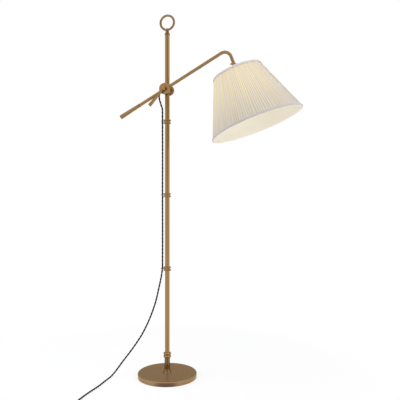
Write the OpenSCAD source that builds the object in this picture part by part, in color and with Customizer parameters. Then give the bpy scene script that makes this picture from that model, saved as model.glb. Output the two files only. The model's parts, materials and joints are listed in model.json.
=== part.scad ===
// Bridge floor lamp: a round weighted base, a slim pole with three double collars and a ring on top,
// and an arm that slides, turns and tilts on the pole and carries a pleated shade.
// Millimetres. The origin is the centre of the felt's underside, +Z is up, the shade is towards +X,
// and the hand lever is on the front of the pole, towards -Y.

/* [Base] */
// Diameter of the round base
base_d = 254; // [220:1:320]
// Height of the base's rim above the floor
base_h = 19; // [17:0.5:30]
// Width of the sloping edge round the top of the base
base_edge_w = 2.5; // [1.5:0.5:6]
// Height of that sloping edge
base_edge_h = 2; // [1:0.5:5]
// Width of the flat rim round the plate
base_rim_w = 14; // [8:0.5:24]
// Height of the step from the rim down to the plate
base_step = 0.8; // [0.4:0.1:2]
// Sheet thickness of the spun cover
cover_wall = 1.2; // [0.8:0.1:2]
// Thickness of the felt under the base
felt_t = 2; // [1:0.5:3]
// Height of the cover's skirt above the floor
skirt_gap = 0.8; // [0.5:0.1:1]
// Diameter of the threaded pipe that ties base and stem together
pipe_d = 10; // [8:0.5:11]
// Wall of the threaded pipe
pipe_wall = 1; // [0.8:0.1:2]
// Width across the nut under the base
nut_d = 19; // [15:0.5:22]
// Thickness of that nut
nut_t = 5; // [3:0.5:5]
// Diameter of the washer under the base
washer_d = 25; // [22:0.5:30]
// Thickness of the washer
washer_t = 1.5; // [1:0.1:2]

/* [Stem] */
// Diameter of the stem above the base
stem_d = 23; // [22:0.5:28]
// Diameter of the stem's bell-shaped foot
stem_foot_d = 34; // [29:0.5:40]
// Height of the bell-shaped foot
stem_foot_h = 22; // [12:1:36]
// Height of the stem's top above the floor
stem_top = 83; // [60:1:120]
// Diameter of the double bead on the stem
stem_bead_d = 32.5; // [28:0.5:38]
// Height of the double bead
stem_bead_h = 23; // [18:0.5:30]

/* [Pole] */
// Outer diameter of the pole
pole_d = 20; // [17:0.5:21]
// Wall of the pole's tubes
pole_wall = 1.5; // [1:0.1:2.5]
// Height of the pole's top end
pole_top = 1475; // [1445:5:1600]
// Height of the lower collar's middle
collar_low_z = 466; // [400:1:520]
// Height of the middle collar's middle
collar_mid_z = 783.5; // [720:0.5:840]
// Height of the upper collar's middle
collar_high_z = 1101; // [1060:1:1110]
// Diameter of a collar's two beads
collar_d = 33; // [28:0.5:38]
// Height of one bead
bead_h = 5.2; // [4:0.2:7]
// Distance between the middles of a collar's two beads
bead_pitch = 12; // [10:0.5:16]
// Wall of the collar's sleeve
collar_sleeve = 2; // [1.5:0.1:4]
// Length of the inner couplers that join the tubes
coupler_len = 36; // [24:1:60]

/* [Cord eyes] */
// Inner radius of the eye that the cord runs through
eye_r = 4.2; // [4:0.1:6]
// Radius of the eye's wire
eye_wire_r = 1.3; // [1:0.1:1.8]
// Distance of the eye's ring from the beads' edge, below 0 where it reaches in between the beads
eye_gap = -0.8; // [-1:0.1:3]

/* [Ring] */
// Outer diameter of the ring on top
ring_d = 71; // [50:1:90]
// Diameter of the ring's bar
ring_bar = 9.5; // [6:0.5:12]
// Diameter of the ball at the ring's foot
ring_ball_d = 13.5; // [12:0.5:16]
// Diameter of the flange under the ring
flange_d = 23; // [21:0.5:32]
// Height of the flange
flange_h = 8.5; // [5:0.5:14]
// Diameter of the neck between flange and ring
neck_d = 15.5; // [12:0.5:18]
// Height of the neck
neck_h = 9.5; // [8:0.5:20]

/* [Clamp on the pole] */
// Height of the arm's pivot above the floor
pivot_z = 1238.8; // [1230:0.2:1245]
// Wall of the sliding bush between pole and clamp
bush_wall = 1.5; // [1:0.1:2.5]
// Thickness of the bush's end flanges
bush_flange = 2; // [1.5:0.1:3]
// Height of the clamp's barrel
clamp_h = 36; // [30:1:44]
// Wall of the clamp's barrel
clamp_wall = 2.7; // [2.5:0.1:4]
// Diameter of the disc behind the pole
rear_disc_d = 46; // [38:0.5:50]
// Thickness of the disc behind the pole
rear_disc_t = 6; // [4:0.5:9]
// Distance between the barrel and the rear disc
rear_standoff = 7; // [2:0.5:9]
// Diameter of the screw on the rear disc
rear_screw_d = 14; // [10:0.5:18]
// Diameter of the pivot bolt
bolt_d = 8; // [6:0.5:9]
// Thickness of the friction washer
friction_t = 1; // [0.6:0.1:2]

/* [Arm] */
// Angle of the arm above level
arm_angle = 28.7; // [20:0.1:36]
// Diameter of the arm's tube
arm_d = 13.2; // [12:0.2:13.4]
// Wall of the arm's tube
arm_wall = 1.2; // [0.8:0.1:1.8]
// Length from the pivot to the start of the bend
arm_straight = 281.5; // [220:0.5:340]
// Radius of the bend
bend_r = 30; // [22:1:45]
// Length from the end of the bend to the plane of the shade's top rim
drop_len = 68; // [62:1:90]
// Diameter of the hub that the arm's tubes screw into
hub_d = 36; // [33:0.5:42]
// Thickness of the hub
hub_t = 15; // [14:0.5:18]
// Diameter of the disc in front of the hub
front_disc_d = 48.5; // [40:0.5:54]
// Thickness of the front disc
front_disc_t = 5.5; // [4:0.5:8]
// Length of the tail from the pivot to the handle's end
tail_len = 238; // [200:1:280]
// Length of the flared handle on the tail
handle_len = 99; // [70:1:130]
// Diameter of the handle at its thin end
handle_d1 = 14.4; // [14.2:0.2:16]
// Diameter of the handle at its thick end
handle_d2 = 18.5; // [16:0.5:24]
// Diameter of the ferrule at the handle's thin end
ferrule_d = 17; // [15:0.5:20]
// Width of the ferrule
ferrule_w = 4; // [3:0.5:8]
// Distance from the pivot to the cord's way out of the tail
exit_along = 35.5; // [32:0.5:40]

/* [Lever] */
// Length of the lever from the pivot
lever_len = 96; // [70:1:120]
// Angle of the lever below level, on the tail's side
lever_angle = 47.5; // [36:0.5:80]
// Diameter of the lever at its nut
lever_d1 = 11; // [8:0.2:12]
// Diameter of the lever at its flared end
lever_d2 = 16.4; // [12:0.2:17]
// Diameter of the lever's nut
lever_nut_d = 18; // [16:0.5:24]
// Thickness of the lever's nut
lever_nut_t = 14.5; // [14:0.5:20]

/* [Socket] */
// Height of the socket cap's top above the shade's top rim
cap_top = 42; // [40:0.5:46]
// Diameter of the cap's neck
cap_neck_d = 15.2; // [14.6:0.2:18]
// Diameter of the cap's skirt
cap_d = 39.5; // [38:0.5:44]
// Outer diameter of the socket's shell
shell_d = 36.4; // [34:0.2:37]
// Length of the socket's shell below the shade's top rim
shell_len = 34; // [30:1:42]
// Radius of the switch key's spindle
key_r = 1.8; // [1.4:0.1:2.4]
// Reach of the switch key from the socket's middle
key_reach = 15; // [13:0.5:20]
// Diameter of the bulb's glass
bulb_d = 60; // [50:1:70]
// Overall length of the bulb
bulb_len = 110; // [100:1:125]
// Diameter of the bulb's screw base
bulb_base_d = 26; // [24:0.5:27]
// Length of the bulb's screw base
bulb_base_len = 25; // [22:0.5:27]
// Thickness of the bulb's glass
glass_t = 1; // [0.6:0.1:1.5]

/* [Shade] */
// Angle between the shade's axis and the vertical
shade_tilt = 21.3; // [10:0.1:30]
// Outer diameter of the shade's top rim
shade_top_d = 206; // [170:1:240]
// Outer diameter of the shade's bottom rim
shade_bottom_d = 391; // [340:0.5:430]
// Height of the shade along its axis
shade_h = 236.2; // [220:0.2:280]
// Number of pleats round the shade
pleats = 100; // [60:1:120]
// Depth of a pleat
pleat_depth = 2.4; // [1:0.1:3]
// Thickness of the pleated cloth
cloth_t = 0.5; // [0.3:0.1:0.8]
// Height of the ribbon round each rim
trim_h = 7.5; // [5:0.5:12]
// Thickness of the ribbon
trim_t = 0.8; // [0.5:0.1:1.2]
// Radius of the wire rings in the rims
wire_r = 1.2; // [1:0.1:1.8]
// Thickness of the stiff lining
lining_t = 0.6; // [0.5:0.1:1]
// Number of spokes that carry the shade on the socket
spokes = 3; // [3:1:4]

/* [Cord] */
// Diameter of the twisted cord
cord_d = 6.4; // [5:0.1:6.4]
// Radius of the innermost turn of the coil
coil_inner_r = 28; // [26:0.5:34]
// Distance between neighbouring turns
coil_pitch = 7.1; // [7:0.1:8]
// Number of turns in the coil
coil_turns = 5; // [3:1:8]
// Thickness of the tie round the coil
tie_t = 0.7; // [0.4:0.1:1]
// Width of the tie
tie_w = 9; // [5:0.5:14]
// Width of the plug
plug_w = 25; // [22:0.5:30]
// Length of the plug's body
plug_len = 44; // [40:1:60]

/* [Clearances] */
// Radial gap of a running or sliding fit
run_fit = 0.05; // [0.02:0.01:0.1]
// Gap between parts that are pushed or screwed together
seat_fit = 0.02; // [0.01:0.01:0.05]
// Gap between flat faces that turn past each other
face_gap = 0.2; // [0.1:0.05:0.4]
// Gap between the soft layers of the shade
layer_gap = 0.3; // [0.2:0.1:0.5]

/* [Hidden] */
$fn = 72;

brass = [0.62, 0.49, 0.31];
dark_brass = [0.5, 0.38, 0.22];
iron = [0.25, 0.25, 0.26];
felt = [0.1, 0.1, 0.1];
cream = [0.9, 0.85, 0.74];
ribbon = [0.8, 0.79, 0.8];
black = [0.08, 0.08, 0.1];
steel = [0.7, 0.7, 0.7];
glass = [0.95, 0.93, 0.85];

// Base
cover_r = base_d / 2;
weight_r = cover_r - cover_wall - layer_gap;
plate_z = base_h - base_step;
weight_top = plate_z - cover_wall;
pipe_r = pipe_d / 2;
pocket_top = felt_t + nut_t + washer_t + 3.5;
pocket_r = washer_d / 2 + 1.5;
pipe_bottom = felt_t + 1;
pipe_top = stem_top + 30;

// Pole
pole_r = pole_d / 2;
pole_bore = pole_r - pole_wall;
plug_seat = stem_top + 5;
sleeve_r = pole_r + collar_sleeve;
collar_r = collar_d / 2;
eye_ring_r = eye_r + eye_wire_r;
eye_x = -(collar_r + eye_gap + eye_wire_r + eye_ring_r);
eye_depth = 0.7;

// Ring on top
ring_bar_r = ring_bar / 2;
ring_r = ring_d / 2 - ring_bar_r;
ring_foot = pole_top + flange_h + neck_h;
ring_z = ring_foot + ring_r + ring_bar_r;
stub_r = 3;

// Clamp, hub and lever, stacked along -Y from the pole's axis
bush_bore = pole_r + run_fit;
bush_r = bush_bore + bush_wall;
clamp_bore = bush_r + run_fit;
clamp_r = clamp_bore + clamp_wall;
boss_face = clamp_r + 0.4;
rear_face = clamp_r + rear_standoff;
bolt_r = bolt_d / 2;
bolt_root = clamp_bore + 0.5;
washer_face = boss_face + friction_t;
hub_face = washer_face + face_gap / 2;
arm_y = -(hub_face + hub_t / 2);
disc_face = hub_face + hub_t;
nut_face = disc_face + front_disc_t + face_gap;
nut_end = nut_face + lever_nut_t;
lever_y = -(nut_face + lever_nut_t / 2);
boss_d = 30;

// Arm
arm_r = arm_d / 2;
arm_bore = arm_r - arm_wall;
arm_socket_r = arm_r + seat_fit;
tube_start = bolt_r + 5;
chamber_start = bolt_r + 1.2;
turn = arm_angle + 90 - shade_tilt;
bend_end = [arm_straight + bend_r * sin(turn), bend_r * cos(turn) - bend_r];
shade_at = [bend_end[0] + drop_len * cos(turn), bend_end[1] - drop_len * sin(turn)];
handle_start = tail_len - handle_len;
tail_tube_end = handle_start + 14;
lead_r = 1.5;
lead_side = bolt_r + lead_r + 1.3;
bushing_r = 3.3;
bushing_drop = 5;
exit_x = -(exit_along * cos(arm_angle) - arm_r * sin(arm_angle));
exit_surface_z = pivot_z - exit_along * sin(arm_angle) - arm_r * cos(arm_angle);

// Socket and bulb, measured along the shade's axis with 0 at the top rim and + towards the arm
nipple_r = arm_bore - seat_fit;
nipple_bore = 3.6;
nipple_top = cap_top + 14;
nipple_bottom = 18;
neck_bottom = 33;
skirt_top = 9;
skirt_bottom = 2;
shell_r = shell_d / 2;
shell_wall = 0.6;
shell_top = 6;
core_r = shell_r - shell_wall - seat_fit;
screw_r = bulb_base_d / 2;
screw_ceiling = -6;
bulb_top = screw_ceiling - 1;
glass_start = bulb_top - bulb_base_len;
glass_end = bulb_top - bulb_len;
key_z = cap_top - 4;
key_root = nipple_r + 0.8;
key_grip_r = 3.2;
uno_r = shell_r + 0.3;
uno_w = 3.5;
spoke_r = wire_r * 0.8;

// Shade layers, as distances inward from the outer cone
shade_slope = (shade_bottom_d - shade_top_d) / 2 / shade_h;
crest_in = trim_t + layer_gap;
valley_in = crest_in + pleat_depth;
cloth_in = valley_in + cloth_t;
wire_in = cloth_in + layer_gap + wire_r;
lining_in = wire_in + wire_r + layer_gap;
lining_end = 1;
wire_depth = wire_r + 0.4;
lining_top = wire_depth + spoke_r + layer_gap;

// Cord: its free route in points chosen by hand, from the tail down to the coil
cord_r = cord_d / 2;
cord_sides = 10;
coil_lift = tie_t + 0.3;
CORD_TOP = [
    [-28, -23.3, 1210.8], [-28, -23.3, 1204], [-27.8, -22.7, 1196], [-27.4, -20.9, 1188],
    [-25.9, -15, 1170], [-24.3, -8.7, 1150], [-22.6, -2.4, 1130], [-22.1, -0.6, 1122],
    [-22, 0, 1114.5], [-22, 0, 1110.3]
];
CORD_DROP = [
    [-22, 0, 1110], [-22, 0, 1080], [-21.6, 0, 940], [-22, 0, 783], [-21.6, 0, 620], [-22, 0, 500],
    [-22.6, 0, 466], [-26, 0, 440], [-32, 0, 410], [-40.5, 0, 374], [-51, 0, 330], [-64, -1, 289],
    [-79, -2, 250], [-96, -4, 212], [-115, -7, 175], [-137, -11, 140], [-157, -17, 110],
    [-178, -24, 81], [-197, -34, 54], [-212, -47, 30], [-221, -63, 14], [-226, -84, 5],
    [-227, -108, 3.2], [-226, -150, 3.2], [-225, -198, 3.2], [-227, -236, 3.2], [-229, -272, 3.2],
    [-230, -312, 3.2], [-229, -356, 3.3], [-228.2, -400, 4], [-228, -432, 4.2]
];
coil_start_x = -228;
coil_start_y = -432.3;
COIL_MIDDLE = [coil_start_x + coil_radius(0), -440];
plug_y = -468;
coil_floor_z = cord_r + coil_lift;
coil_layer = coil_pitch;
plug_z = coil_floor_z + coil_layer;
plug_t = 2 * plug_z;

echo(cord_length = path_length(smooth(CORD_TOP, 4)) + path_length(smooth(CORD_DROP, 4))
    + path_length(coil_path()));
echo(coil_gap_to_itself = coil_gap());

// ---------- helpers ----------
function unit(v) = v / norm(v);
function tangent(p, i) = unit(p[min(i + 1, len(p) - 1)] - p[max(i - 1, 0)]);
function path_length(p) = len(p) < 2 ? 0 : sum([for (i = [1:len(p) - 1]) norm(p[i] - p[i - 1])]);
function sum(v, i = 0) = i >= len(v) ? 0 : v[i] + sum(v, i + 1);
function ease(t) = t * t * (3 - 2 * t);
function clamp01(t) = max(0, min(1, t));

// Point at share t between b and c on the smooth curve through a, b, c and d
function curve_point(a, b, c, d, t) =
    let (m1 = (c - a) / 2 * norm(c - b) * 2 / (norm(c - b) + norm(b - a) + 0.001),
         m2 = (d - b) / 2 * norm(c - b) * 2 / (norm(c - b) + norm(d - c) + 0.001))
    (2 * t ^ 3 - 3 * t ^ 2 + 1) * b + (t ^ 3 - 2 * t ^ 2 + t) * m1
    + (3 * t ^ 2 - 2 * t ^ 3) * c + (t ^ 3 - t ^ 2) * m2;
function smooth(p, steps) = concat(
    [for (i = [0:len(p) - 2], k = [0:steps - 1])
        curve_point(p[max(i - 1, 0)], p[i], p[i + 1], p[min(i + 2, len(p) - 1)], k / steps)],
    [p[len(p) - 1]]
);

// Closed tube of radius r along the points p; side is a direction that the path never runs along
module swept_tube(p, r, sides, side) {
    rings = [for (i = [0:len(p) - 1])
        let (t = tangent(p, i), a = unit(cross(t, side)), b = cross(t, a))
        for (k = [0:sides - 1]) p[i] + r * (cos(360 * k / sides) * a + sin(360 * k / sides) * b)];
    walls = [for (i = [0:len(p) - 2], k = [0:sides - 1])
        let (here = i * sides + k, next = i * sides + (k + 1) % sides)
        each [[here, here + sides, next + sides], [here, next + sides, next]]];
    last = (len(p) - 1) * sides;
    ends = [[for (k = [0:sides - 1]) k], [for (k = [sides - 1:-1:0]) last + k]];
    polyhedron(rings, concat(walls, ends));
}

module tube(r_out, r_in, h) {
    rotate_extrude() translate([r_in, 0]) square([r_out - r_in, h]);
}

module torus(r, wire) {
    rotate_extrude() translate([r, 0]) circle(wire, $fn = 32);
}

// Turns a piece drawn along +Z so that it runs towards the front, -Y
module to_front() {
    rotate([90, 0, 0]) children();
}

// Frame of the arm: its pivot at the origin, +X along the head tube
module at_arm() {
    translate([0, arm_y, pivot_z]) rotate([0, -arm_angle, 0]) children();
}

// Frame of the shade: the middle of its top rim at the origin, +Z back along the socket
module at_shade() {
    at_arm() translate([shade_at[0], 0, shade_at[1]]) rotate([0, arm_angle - shade_tilt, 0]) children();
}

// Bead-edged outline of one double collar, for turning about the axis
module double_bead(bore, sleeve, r, bead, pitch) {
    translate([bore, -(pitch + bead) / 2]) square([sleeve - bore, pitch + bead]);
    for (side = [-1, 1]) translate([0, side * pitch / 2]) intersection() {
        union() {
            translate([bore, -bead / 2]) square([r - bead / 2 - bore, bead]);
            translate([r - bead / 2, 0]) circle(bead / 2, $fn = 32);
        }
        translate([bore, -bead]) square([r, 2 * bead]);
    }
}

// ---------- base ----------
module felt_pad() {
    color(felt) cylinder(h = felt_t, r = weight_r);
}

module base_weight() {
    color(iron) difference() {
        rotate_extrude($fn = 144) polygon([
            [0, felt_t], [weight_r, felt_t], [weight_r, weight_top - base_edge_h],
            [weight_r - base_edge_w, weight_top], [0, weight_top]
        ]);
        translate([0, 0, felt_t - 1]) cylinder(h = pocket_top - felt_t + 1, r = pocket_r);
        cylinder(h = base_h * 2, r = pipe_r + run_fit);
    }
}

module base_cover() {
    inner = cover_r - cover_wall;
    color(brass) rotate_extrude($fn = 144) polygon([
        [inner, skirt_gap], [cover_r, skirt_gap], [cover_r, base_h - base_edge_h],
        [cover_r - base_edge_w, base_h], [cover_r - base_rim_w, base_h],
        [cover_r - base_rim_w - base_step, plate_z], [pipe_r + run_fit, plate_z],
        [pipe_r + run_fit, weight_top], [inner - base_edge_w, weight_top],
        [inner, weight_top - base_edge_h]
    ]);
}

module base_washer() {
    color(steel) translate([0, 0, pocket_top - washer_t])
        tube(washer_d / 2, pipe_r + run_fit, washer_t);
}

module base_nut() {
    color(steel) translate([0, 0, pocket_top - washer_t - nut_t]) difference() {
        cylinder(h = nut_t, d = nut_d, $fn = 6);
        translate([0, 0, -1]) cylinder(h = nut_t + 2, r = pipe_r + seat_fit);
    }
}

module lamp_pipe() {
    color(steel) translate([0, 0, pipe_bottom])
        tube(pipe_r, pipe_r - pipe_wall, pipe_top - pipe_bottom);
}

module base_stem() {
    foot_r = stem_foot_d / 2;
    stem_r = stem_d / 2;
    foot_lip = 0.8;
    color(brass) rotate_extrude() polygon(concat(
        [[pipe_r + run_fit, plate_z], [foot_r, plate_z]],
        [for (k = [0:12]) let (t = k / 12, rise = foot_lip + (stem_foot_h - foot_lip) * t)
            [stem_r + (foot_r - stem_r) * (1 - t) ^ 2.4, plate_z + rise]],
        [[stem_r, stem_top], [pipe_r + run_fit, stem_top]]
    ));
}

module stem_collar() {
    bead = stem_bead_h / 2 - 0.4;
    color(brass) translate([0, 0, stem_top + stem_bead_h / 2]) difference() {
        rotate_extrude()
            double_bead(pipe_r + run_fit, sleeve_r, stem_bead_d / 2, bead, stem_bead_h - bead);
        translate([0, 0, plug_seat - stem_top - stem_bead_h / 2])
            cylinder(h = stem_bead_h * 2, r = pole_r + seat_fit);
    }
}

// ---------- pole ----------
module pole_plug() {
    color(steel) translate([0, 0, plug_seat])
        tube(pole_bore - seat_fit, pipe_r + seat_fit, pipe_top - plug_seat - 2);
}

module pole_tube(from, to) {
    color(brass) translate([0, 0, from]) tube(pole_r, pole_bore, to - from);
}

module lower_tube() { pole_tube(plug_seat, collar_low_z); }
module second_tube() { pole_tube(collar_low_z, collar_mid_z); }
module third_tube() { pole_tube(collar_mid_z, collar_high_z); }
module top_tube() { pole_tube(collar_high_z, pole_top); }

module tube_couplers() {
    color(steel) for (z = [collar_low_z, collar_mid_z, collar_high_z])
        translate([0, 0, z - coupler_len / 2])
            tube(pole_bore - seat_fit, pole_bore - seat_fit - 1.5, coupler_len);
}

module collar(z) {
    color(brass) translate([0, 0, z]) difference() {
        rotate_extrude() double_bead(pole_r + seat_fit, sleeve_r, collar_r, bead_h, bead_pitch);
        translate([-sleeve_r - 1, 0, 0]) rotate([0, 90, 0])
            cylinder(h = 1 + eye_depth + 0.2, r = eye_wire_r + seat_fit);
    }
}

module lower_collar() { collar(collar_low_z); }
module middle_collar() { collar(collar_mid_z); }
module upper_collar() { collar(collar_high_z); }

module cord_eye(z) {
    shank = -eye_x - eye_ring_r - (sleeve_r - eye_depth);
    color(dark_brass) translate([eye_x, 0, z]) {
        torus(eye_ring_r, eye_wire_r);
        translate([eye_ring_r, 0, 0]) rotate([0, 90, 0]) cylinder(h = shank, r = eye_wire_r, $fn = 32);
    }
}

module lower_cord_eye() { cord_eye(collar_low_z); }
module middle_cord_eye() { cord_eye(collar_mid_z); }
module upper_cord_eye() { cord_eye(collar_high_z); }

module finial_neck() {
    flange_r = flange_d / 2;
    neck_r = neck_d / 2;
    plug_r = pole_bore - seat_fit;
    color(brass) rotate_extrude() polygon([
        [0, pole_top - 14], [plug_r, pole_top - 14], [plug_r, pole_top], [flange_r - 1, pole_top],
        [flange_r, pole_top + 1.5], [flange_r, pole_top + flange_h - 2.5],
        [flange_r - 2, pole_top + flange_h - 0.5], [neck_r, pole_top + flange_h],
        [neck_r, ring_foot - 1.5], [neck_r - 1, ring_foot - 0.6], [stub_r + seat_fit, ring_foot - 0.6],
        [stub_r + seat_fit, pole_top + flange_h], [0, pole_top + flange_h]
    ]);
}

module finial_ring() {
    color(brass) union() {
        translate([0, 0, ring_z]) rotate([90, 0, 0]) torus(ring_r, ring_bar_r);
        translate([0, 0, pole_top + flange_h + seat_fit]) cylinder(h = neck_h + ring_bar_r, r = stub_r);
        translate([0, 0, ring_foot + ring_bar_r]) rotate_extrude() intersection() {
            circle(ring_ball_d / 2, $fn = 48);
            translate([0, -ring_bar_r]) square(ring_ball_d);
        }
    }
}

// ---------- clamp on the pole ----------
module slide_bush() {
    half = clamp_h / 2 + face_gap;
    flange_r = clamp_bore + 1.6;
    color(black) translate([0, 0, pivot_z]) rotate_extrude() polygon([
        [bush_bore, -half - bush_flange], [flange_r, -half - bush_flange], [flange_r, -half],
        [bush_r, -half], [bush_r, half], [flange_r, half], [flange_r, half + bush_flange],
        [bush_bore, half + bush_flange]
    ]);
}

module pole_clamp() {
    color(brass) translate([0, 0, pivot_z]) difference() {
        union() {
            translate([0, 0, -clamp_h / 2]) cylinder(h = clamp_h, r = clamp_r);
            to_front() cylinder(h = boss_face, d = boss_d);
            rotate([-90, 0, 0]) cylinder(h = rear_face, d = boss_d - 4);
        }
        cylinder(h = clamp_h * 2, r = clamp_bore, center = true);
        translate([0, -bolt_root, 0]) to_front() cylinder(h = boss_face, r = bolt_r + seat_fit);
        translate([0, rear_face - 3, 0]) rotate([-90, 0, 0]) cylinder(h = 4, r = 2.5 + seat_fit);
    }
}

module rear_disc() {
    edge = 1.2;
    r = rear_disc_d / 2;
    color(brass) translate([0, rear_face, pivot_z]) rotate([-90, 0, 0]) rotate_extrude() polygon([
        [2.5 + seat_fit, 0], [r - edge, 0], [r, edge], [r, rear_disc_t - edge],
        [r - edge, rear_disc_t], [2.5 + seat_fit, rear_disc_t]
    ]);
}

module rear_screw() {
    head_r = rear_screw_d / 2;
    shank = rear_disc_t + 2.8;
    color(dark_brass) translate([0, rear_face + rear_disc_t, pivot_z]) rotate([-90, 0, 0]) union() {
        translate([0, 0, -shank]) cylinder(h = shank + 1, r = 2.5);
        rotate_extrude() polygon([
            [0, 0], [head_r, 0], [head_r, 1.5], [head_r * 0.8, 3.4], [head_r * 0.4, 4.3], [0, 4.5]
        ]);
    }
}

module pivot_bolt() {
    color(steel) translate([0, -bolt_root, pivot_z]) to_front()
        cylinder(h = nut_end - 3 - bolt_root, r = bolt_r);
}

module friction_washer() {
    color(black) translate([0, -boss_face, pivot_z]) to_front()
        tube(boss_d / 2 - 1, bolt_r + run_fit, friction_t);
}

// ---------- arm ----------
module arm_hub() {
    socket_len = hub_d / 2;
    color(brass) translate([0, arm_y, pivot_z]) difference() {
        to_front() cylinder(h = hub_t, d = hub_d, center = true);
        to_front() cylinder(h = hub_t * 2, r = bolt_r + run_fit, center = true);
        rotate([0, -arm_angle, 0]) {
            for (side = [-1, 1]) rotate([0, side * 90, 0])
                translate([0, 0, chamber_start]) cylinder(h = socket_len, r = arm_socket_r);
            translate([-tube_start, -lead_r - 0.6, lead_side - lead_r - 0.4])
                cube([2 * tube_start, 2 * (lead_r + 0.6), 2 * (lead_r + 0.4)]);
        }
    }
}

module front_disc() {
    edge = 1.2;
    r = front_disc_d / 2;
    bore = bolt_r + run_fit;
    color(brass) translate([0, -disc_face, pivot_z]) to_front() rotate_extrude() polygon([
        [bore, 0], [r - edge, 0], [r, edge], [r, front_disc_t - edge], [r - edge, front_disc_t],
        [bore, front_disc_t]
    ]);
}

module arm_tube() {
    lap = 0.5;
    color(brass) at_arm() union() {
        translate([tube_start, 0, 0]) rotate([0, 90, 0])
            tube(arm_r, arm_bore, arm_straight - tube_start + lap);
        translate([arm_straight, 0, -bend_r]) rotate([90, 0, 0]) rotate([0, 0, 90 - turn])
            rotate_extrude(angle = turn, $fn = 144) translate([bend_r, 0]) difference() {
                circle(arm_r + seat_fit);
                circle(arm_bore - seat_fit);
            }
        translate([bend_end[0], 0, bend_end[1]]) rotate([0, 90 + turn, 0]) translate([0, 0, -lap])
            tube(arm_r, arm_bore, drop_len - cap_top + lap);
    }
}

module tail_tube() {
    color(brass) difference() {
        at_arm() translate([-tail_tube_end, 0, 0]) rotate([0, 90, 0])
            tube(arm_r, arm_bore, tail_tube_end - tube_start);
        translate([exit_x, arm_y, exit_surface_z - bushing_drop])
            cylinder(h = bushing_drop + arm_r, r = bushing_r + seat_fit);
    }
}

module tail_ferrule() {
    color(brass) at_arm() translate([-handle_start - 0.1, 0, 0]) rotate([0, 90, 0])
        rotate_extrude() polygon([
            [arm_socket_r, 0], [ferrule_d / 2 - 1, 0], [ferrule_d / 2, 1],
            [ferrule_d / 2, ferrule_w - 1], [ferrule_d / 2 - 1, ferrule_w], [arm_socket_r, ferrule_w]
        ]);
}

module tail_handle() {
    r1 = handle_d1 / 2;
    r2 = handle_d2 / 2;
    bore_len = tail_tube_end - handle_start + 0.5;
    color(brass) at_arm() translate([-handle_start - 0.2, 0, 0]) rotate([0, -90, 0])
        rotate_extrude() polygon(concat(
            [[arm_socket_r, 0], [r1, 0], [r2, handle_len - 3]],
            [for (k = [1:6]) let (a = 90 * k / 6) [r2 - 3 + 3 * cos(a), handle_len - 3 + 3 * sin(a)]],
            [[0, handle_len], [0, bore_len], [arm_socket_r, bore_len]]
        ));
}

module cord_bushing() {
    rim_r = cord_r + 1.2;
    rim_h = bushing_drop - rim_r * tan(arm_angle) - face_gap;
    color(black) translate([exit_x, arm_y, exit_surface_z - bushing_drop]) difference() {
        union() {
            cylinder(h = rim_h, r1 = rim_r - 0.6, r2 = rim_r);
            cylinder(h = bushing_drop + 1, r = bushing_r);
        }
        translate([0, 0, -1]) cylinder(h = bushing_drop + 4, r = lead_r + 0.3);
    }
}

// The lead's route in the frame of the arm, as [along the arm, above its axis]
lead_exit = [-exit_along, -arm_r + 0.4];
LEAD = concat(
    [
        lead_exit, lead_exit + [0.6, 1.6], [-exit_along + 4, 0], [-exit_along + 10, 1.5],
        [-tube_start - 3, lead_r + 1], [-tube_start, lead_r + 1.8], [-chamber_start - 0.4, lead_side - 0.3],
        [-2.5, lead_side], [2.5, lead_side], [chamber_start + 0.4, lead_side - 0.3],
        [tube_start, lead_r + 1.8], [tube_start + 4, lead_r + 1], [tube_start + 25, 0]
    ],
    [for (x = [80:50:arm_straight - 40]) [x, 0]],
    [for (k = [0:8]) let (a = turn * k / 8)
        [arm_straight + bend_r * sin(a), bend_r * cos(a) - bend_r]],
    [shade_at + (nipple_bottom - 6) * [-cos(turn), sin(turn)]]
);

module inner_lead() {
    color(black) at_arm()
        swept_tube([for (p = LEAD) [p[0], 0, p[1]]], lead_r, 8, [0, 1, 0]);
}

// ---------- lever ----------
module lever_nut() {
    r = lever_nut_d / 2;
    color(brass) translate([0, -nut_face, pivot_z]) difference() {
        to_front() rotate_extrude() polygon([
            [0, lever_nut_t], [0, lever_nut_t - 2.5], [bolt_r + run_fit, lever_nut_t - 2.5],
            [bolt_r + run_fit, 0], [r - 1, 0], [r, 1], [r, lever_nut_t - 4], [r - 1, lever_nut_t - 2],
            [r - 3.5, lever_nut_t - 0.5]
        ]);
        translate([0, -lever_nut_t / 2, 0]) rotate([0, -90 - lever_angle, 0])
            translate([0, 0, bolt_r + 1]) cylinder(h = r, r = 3 + seat_fit);
    }
}

module lever_handle() {
    r1 = lever_d1 / 2;
    r2 = lever_d2 / 2;
    root = bolt_r + 1.3;
    neck = lever_nut_d / 2 + 0.1;
    color(brass) translate([0, lever_y, pivot_z]) rotate([0, -90 - lever_angle, 0])
        rotate_extrude() polygon([
            [0, root], [3, root], [3, neck], [r1, neck + 1], [r1, lever_len * 0.3],
            [r2 - 0.8, lever_len - 3], [r2, lever_len - 1.6], [r2 - 0.4, lever_len - 0.4],
            [r2 - 1.4, lever_len], [0, lever_len]
        ]);
}

// ---------- socket and bulb ----------
module tube_nipple() {
    color(steel) at_shade() translate([0, 0, nipple_bottom])
        tube(nipple_r, nipple_bore, nipple_top - nipple_bottom);
}

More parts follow.
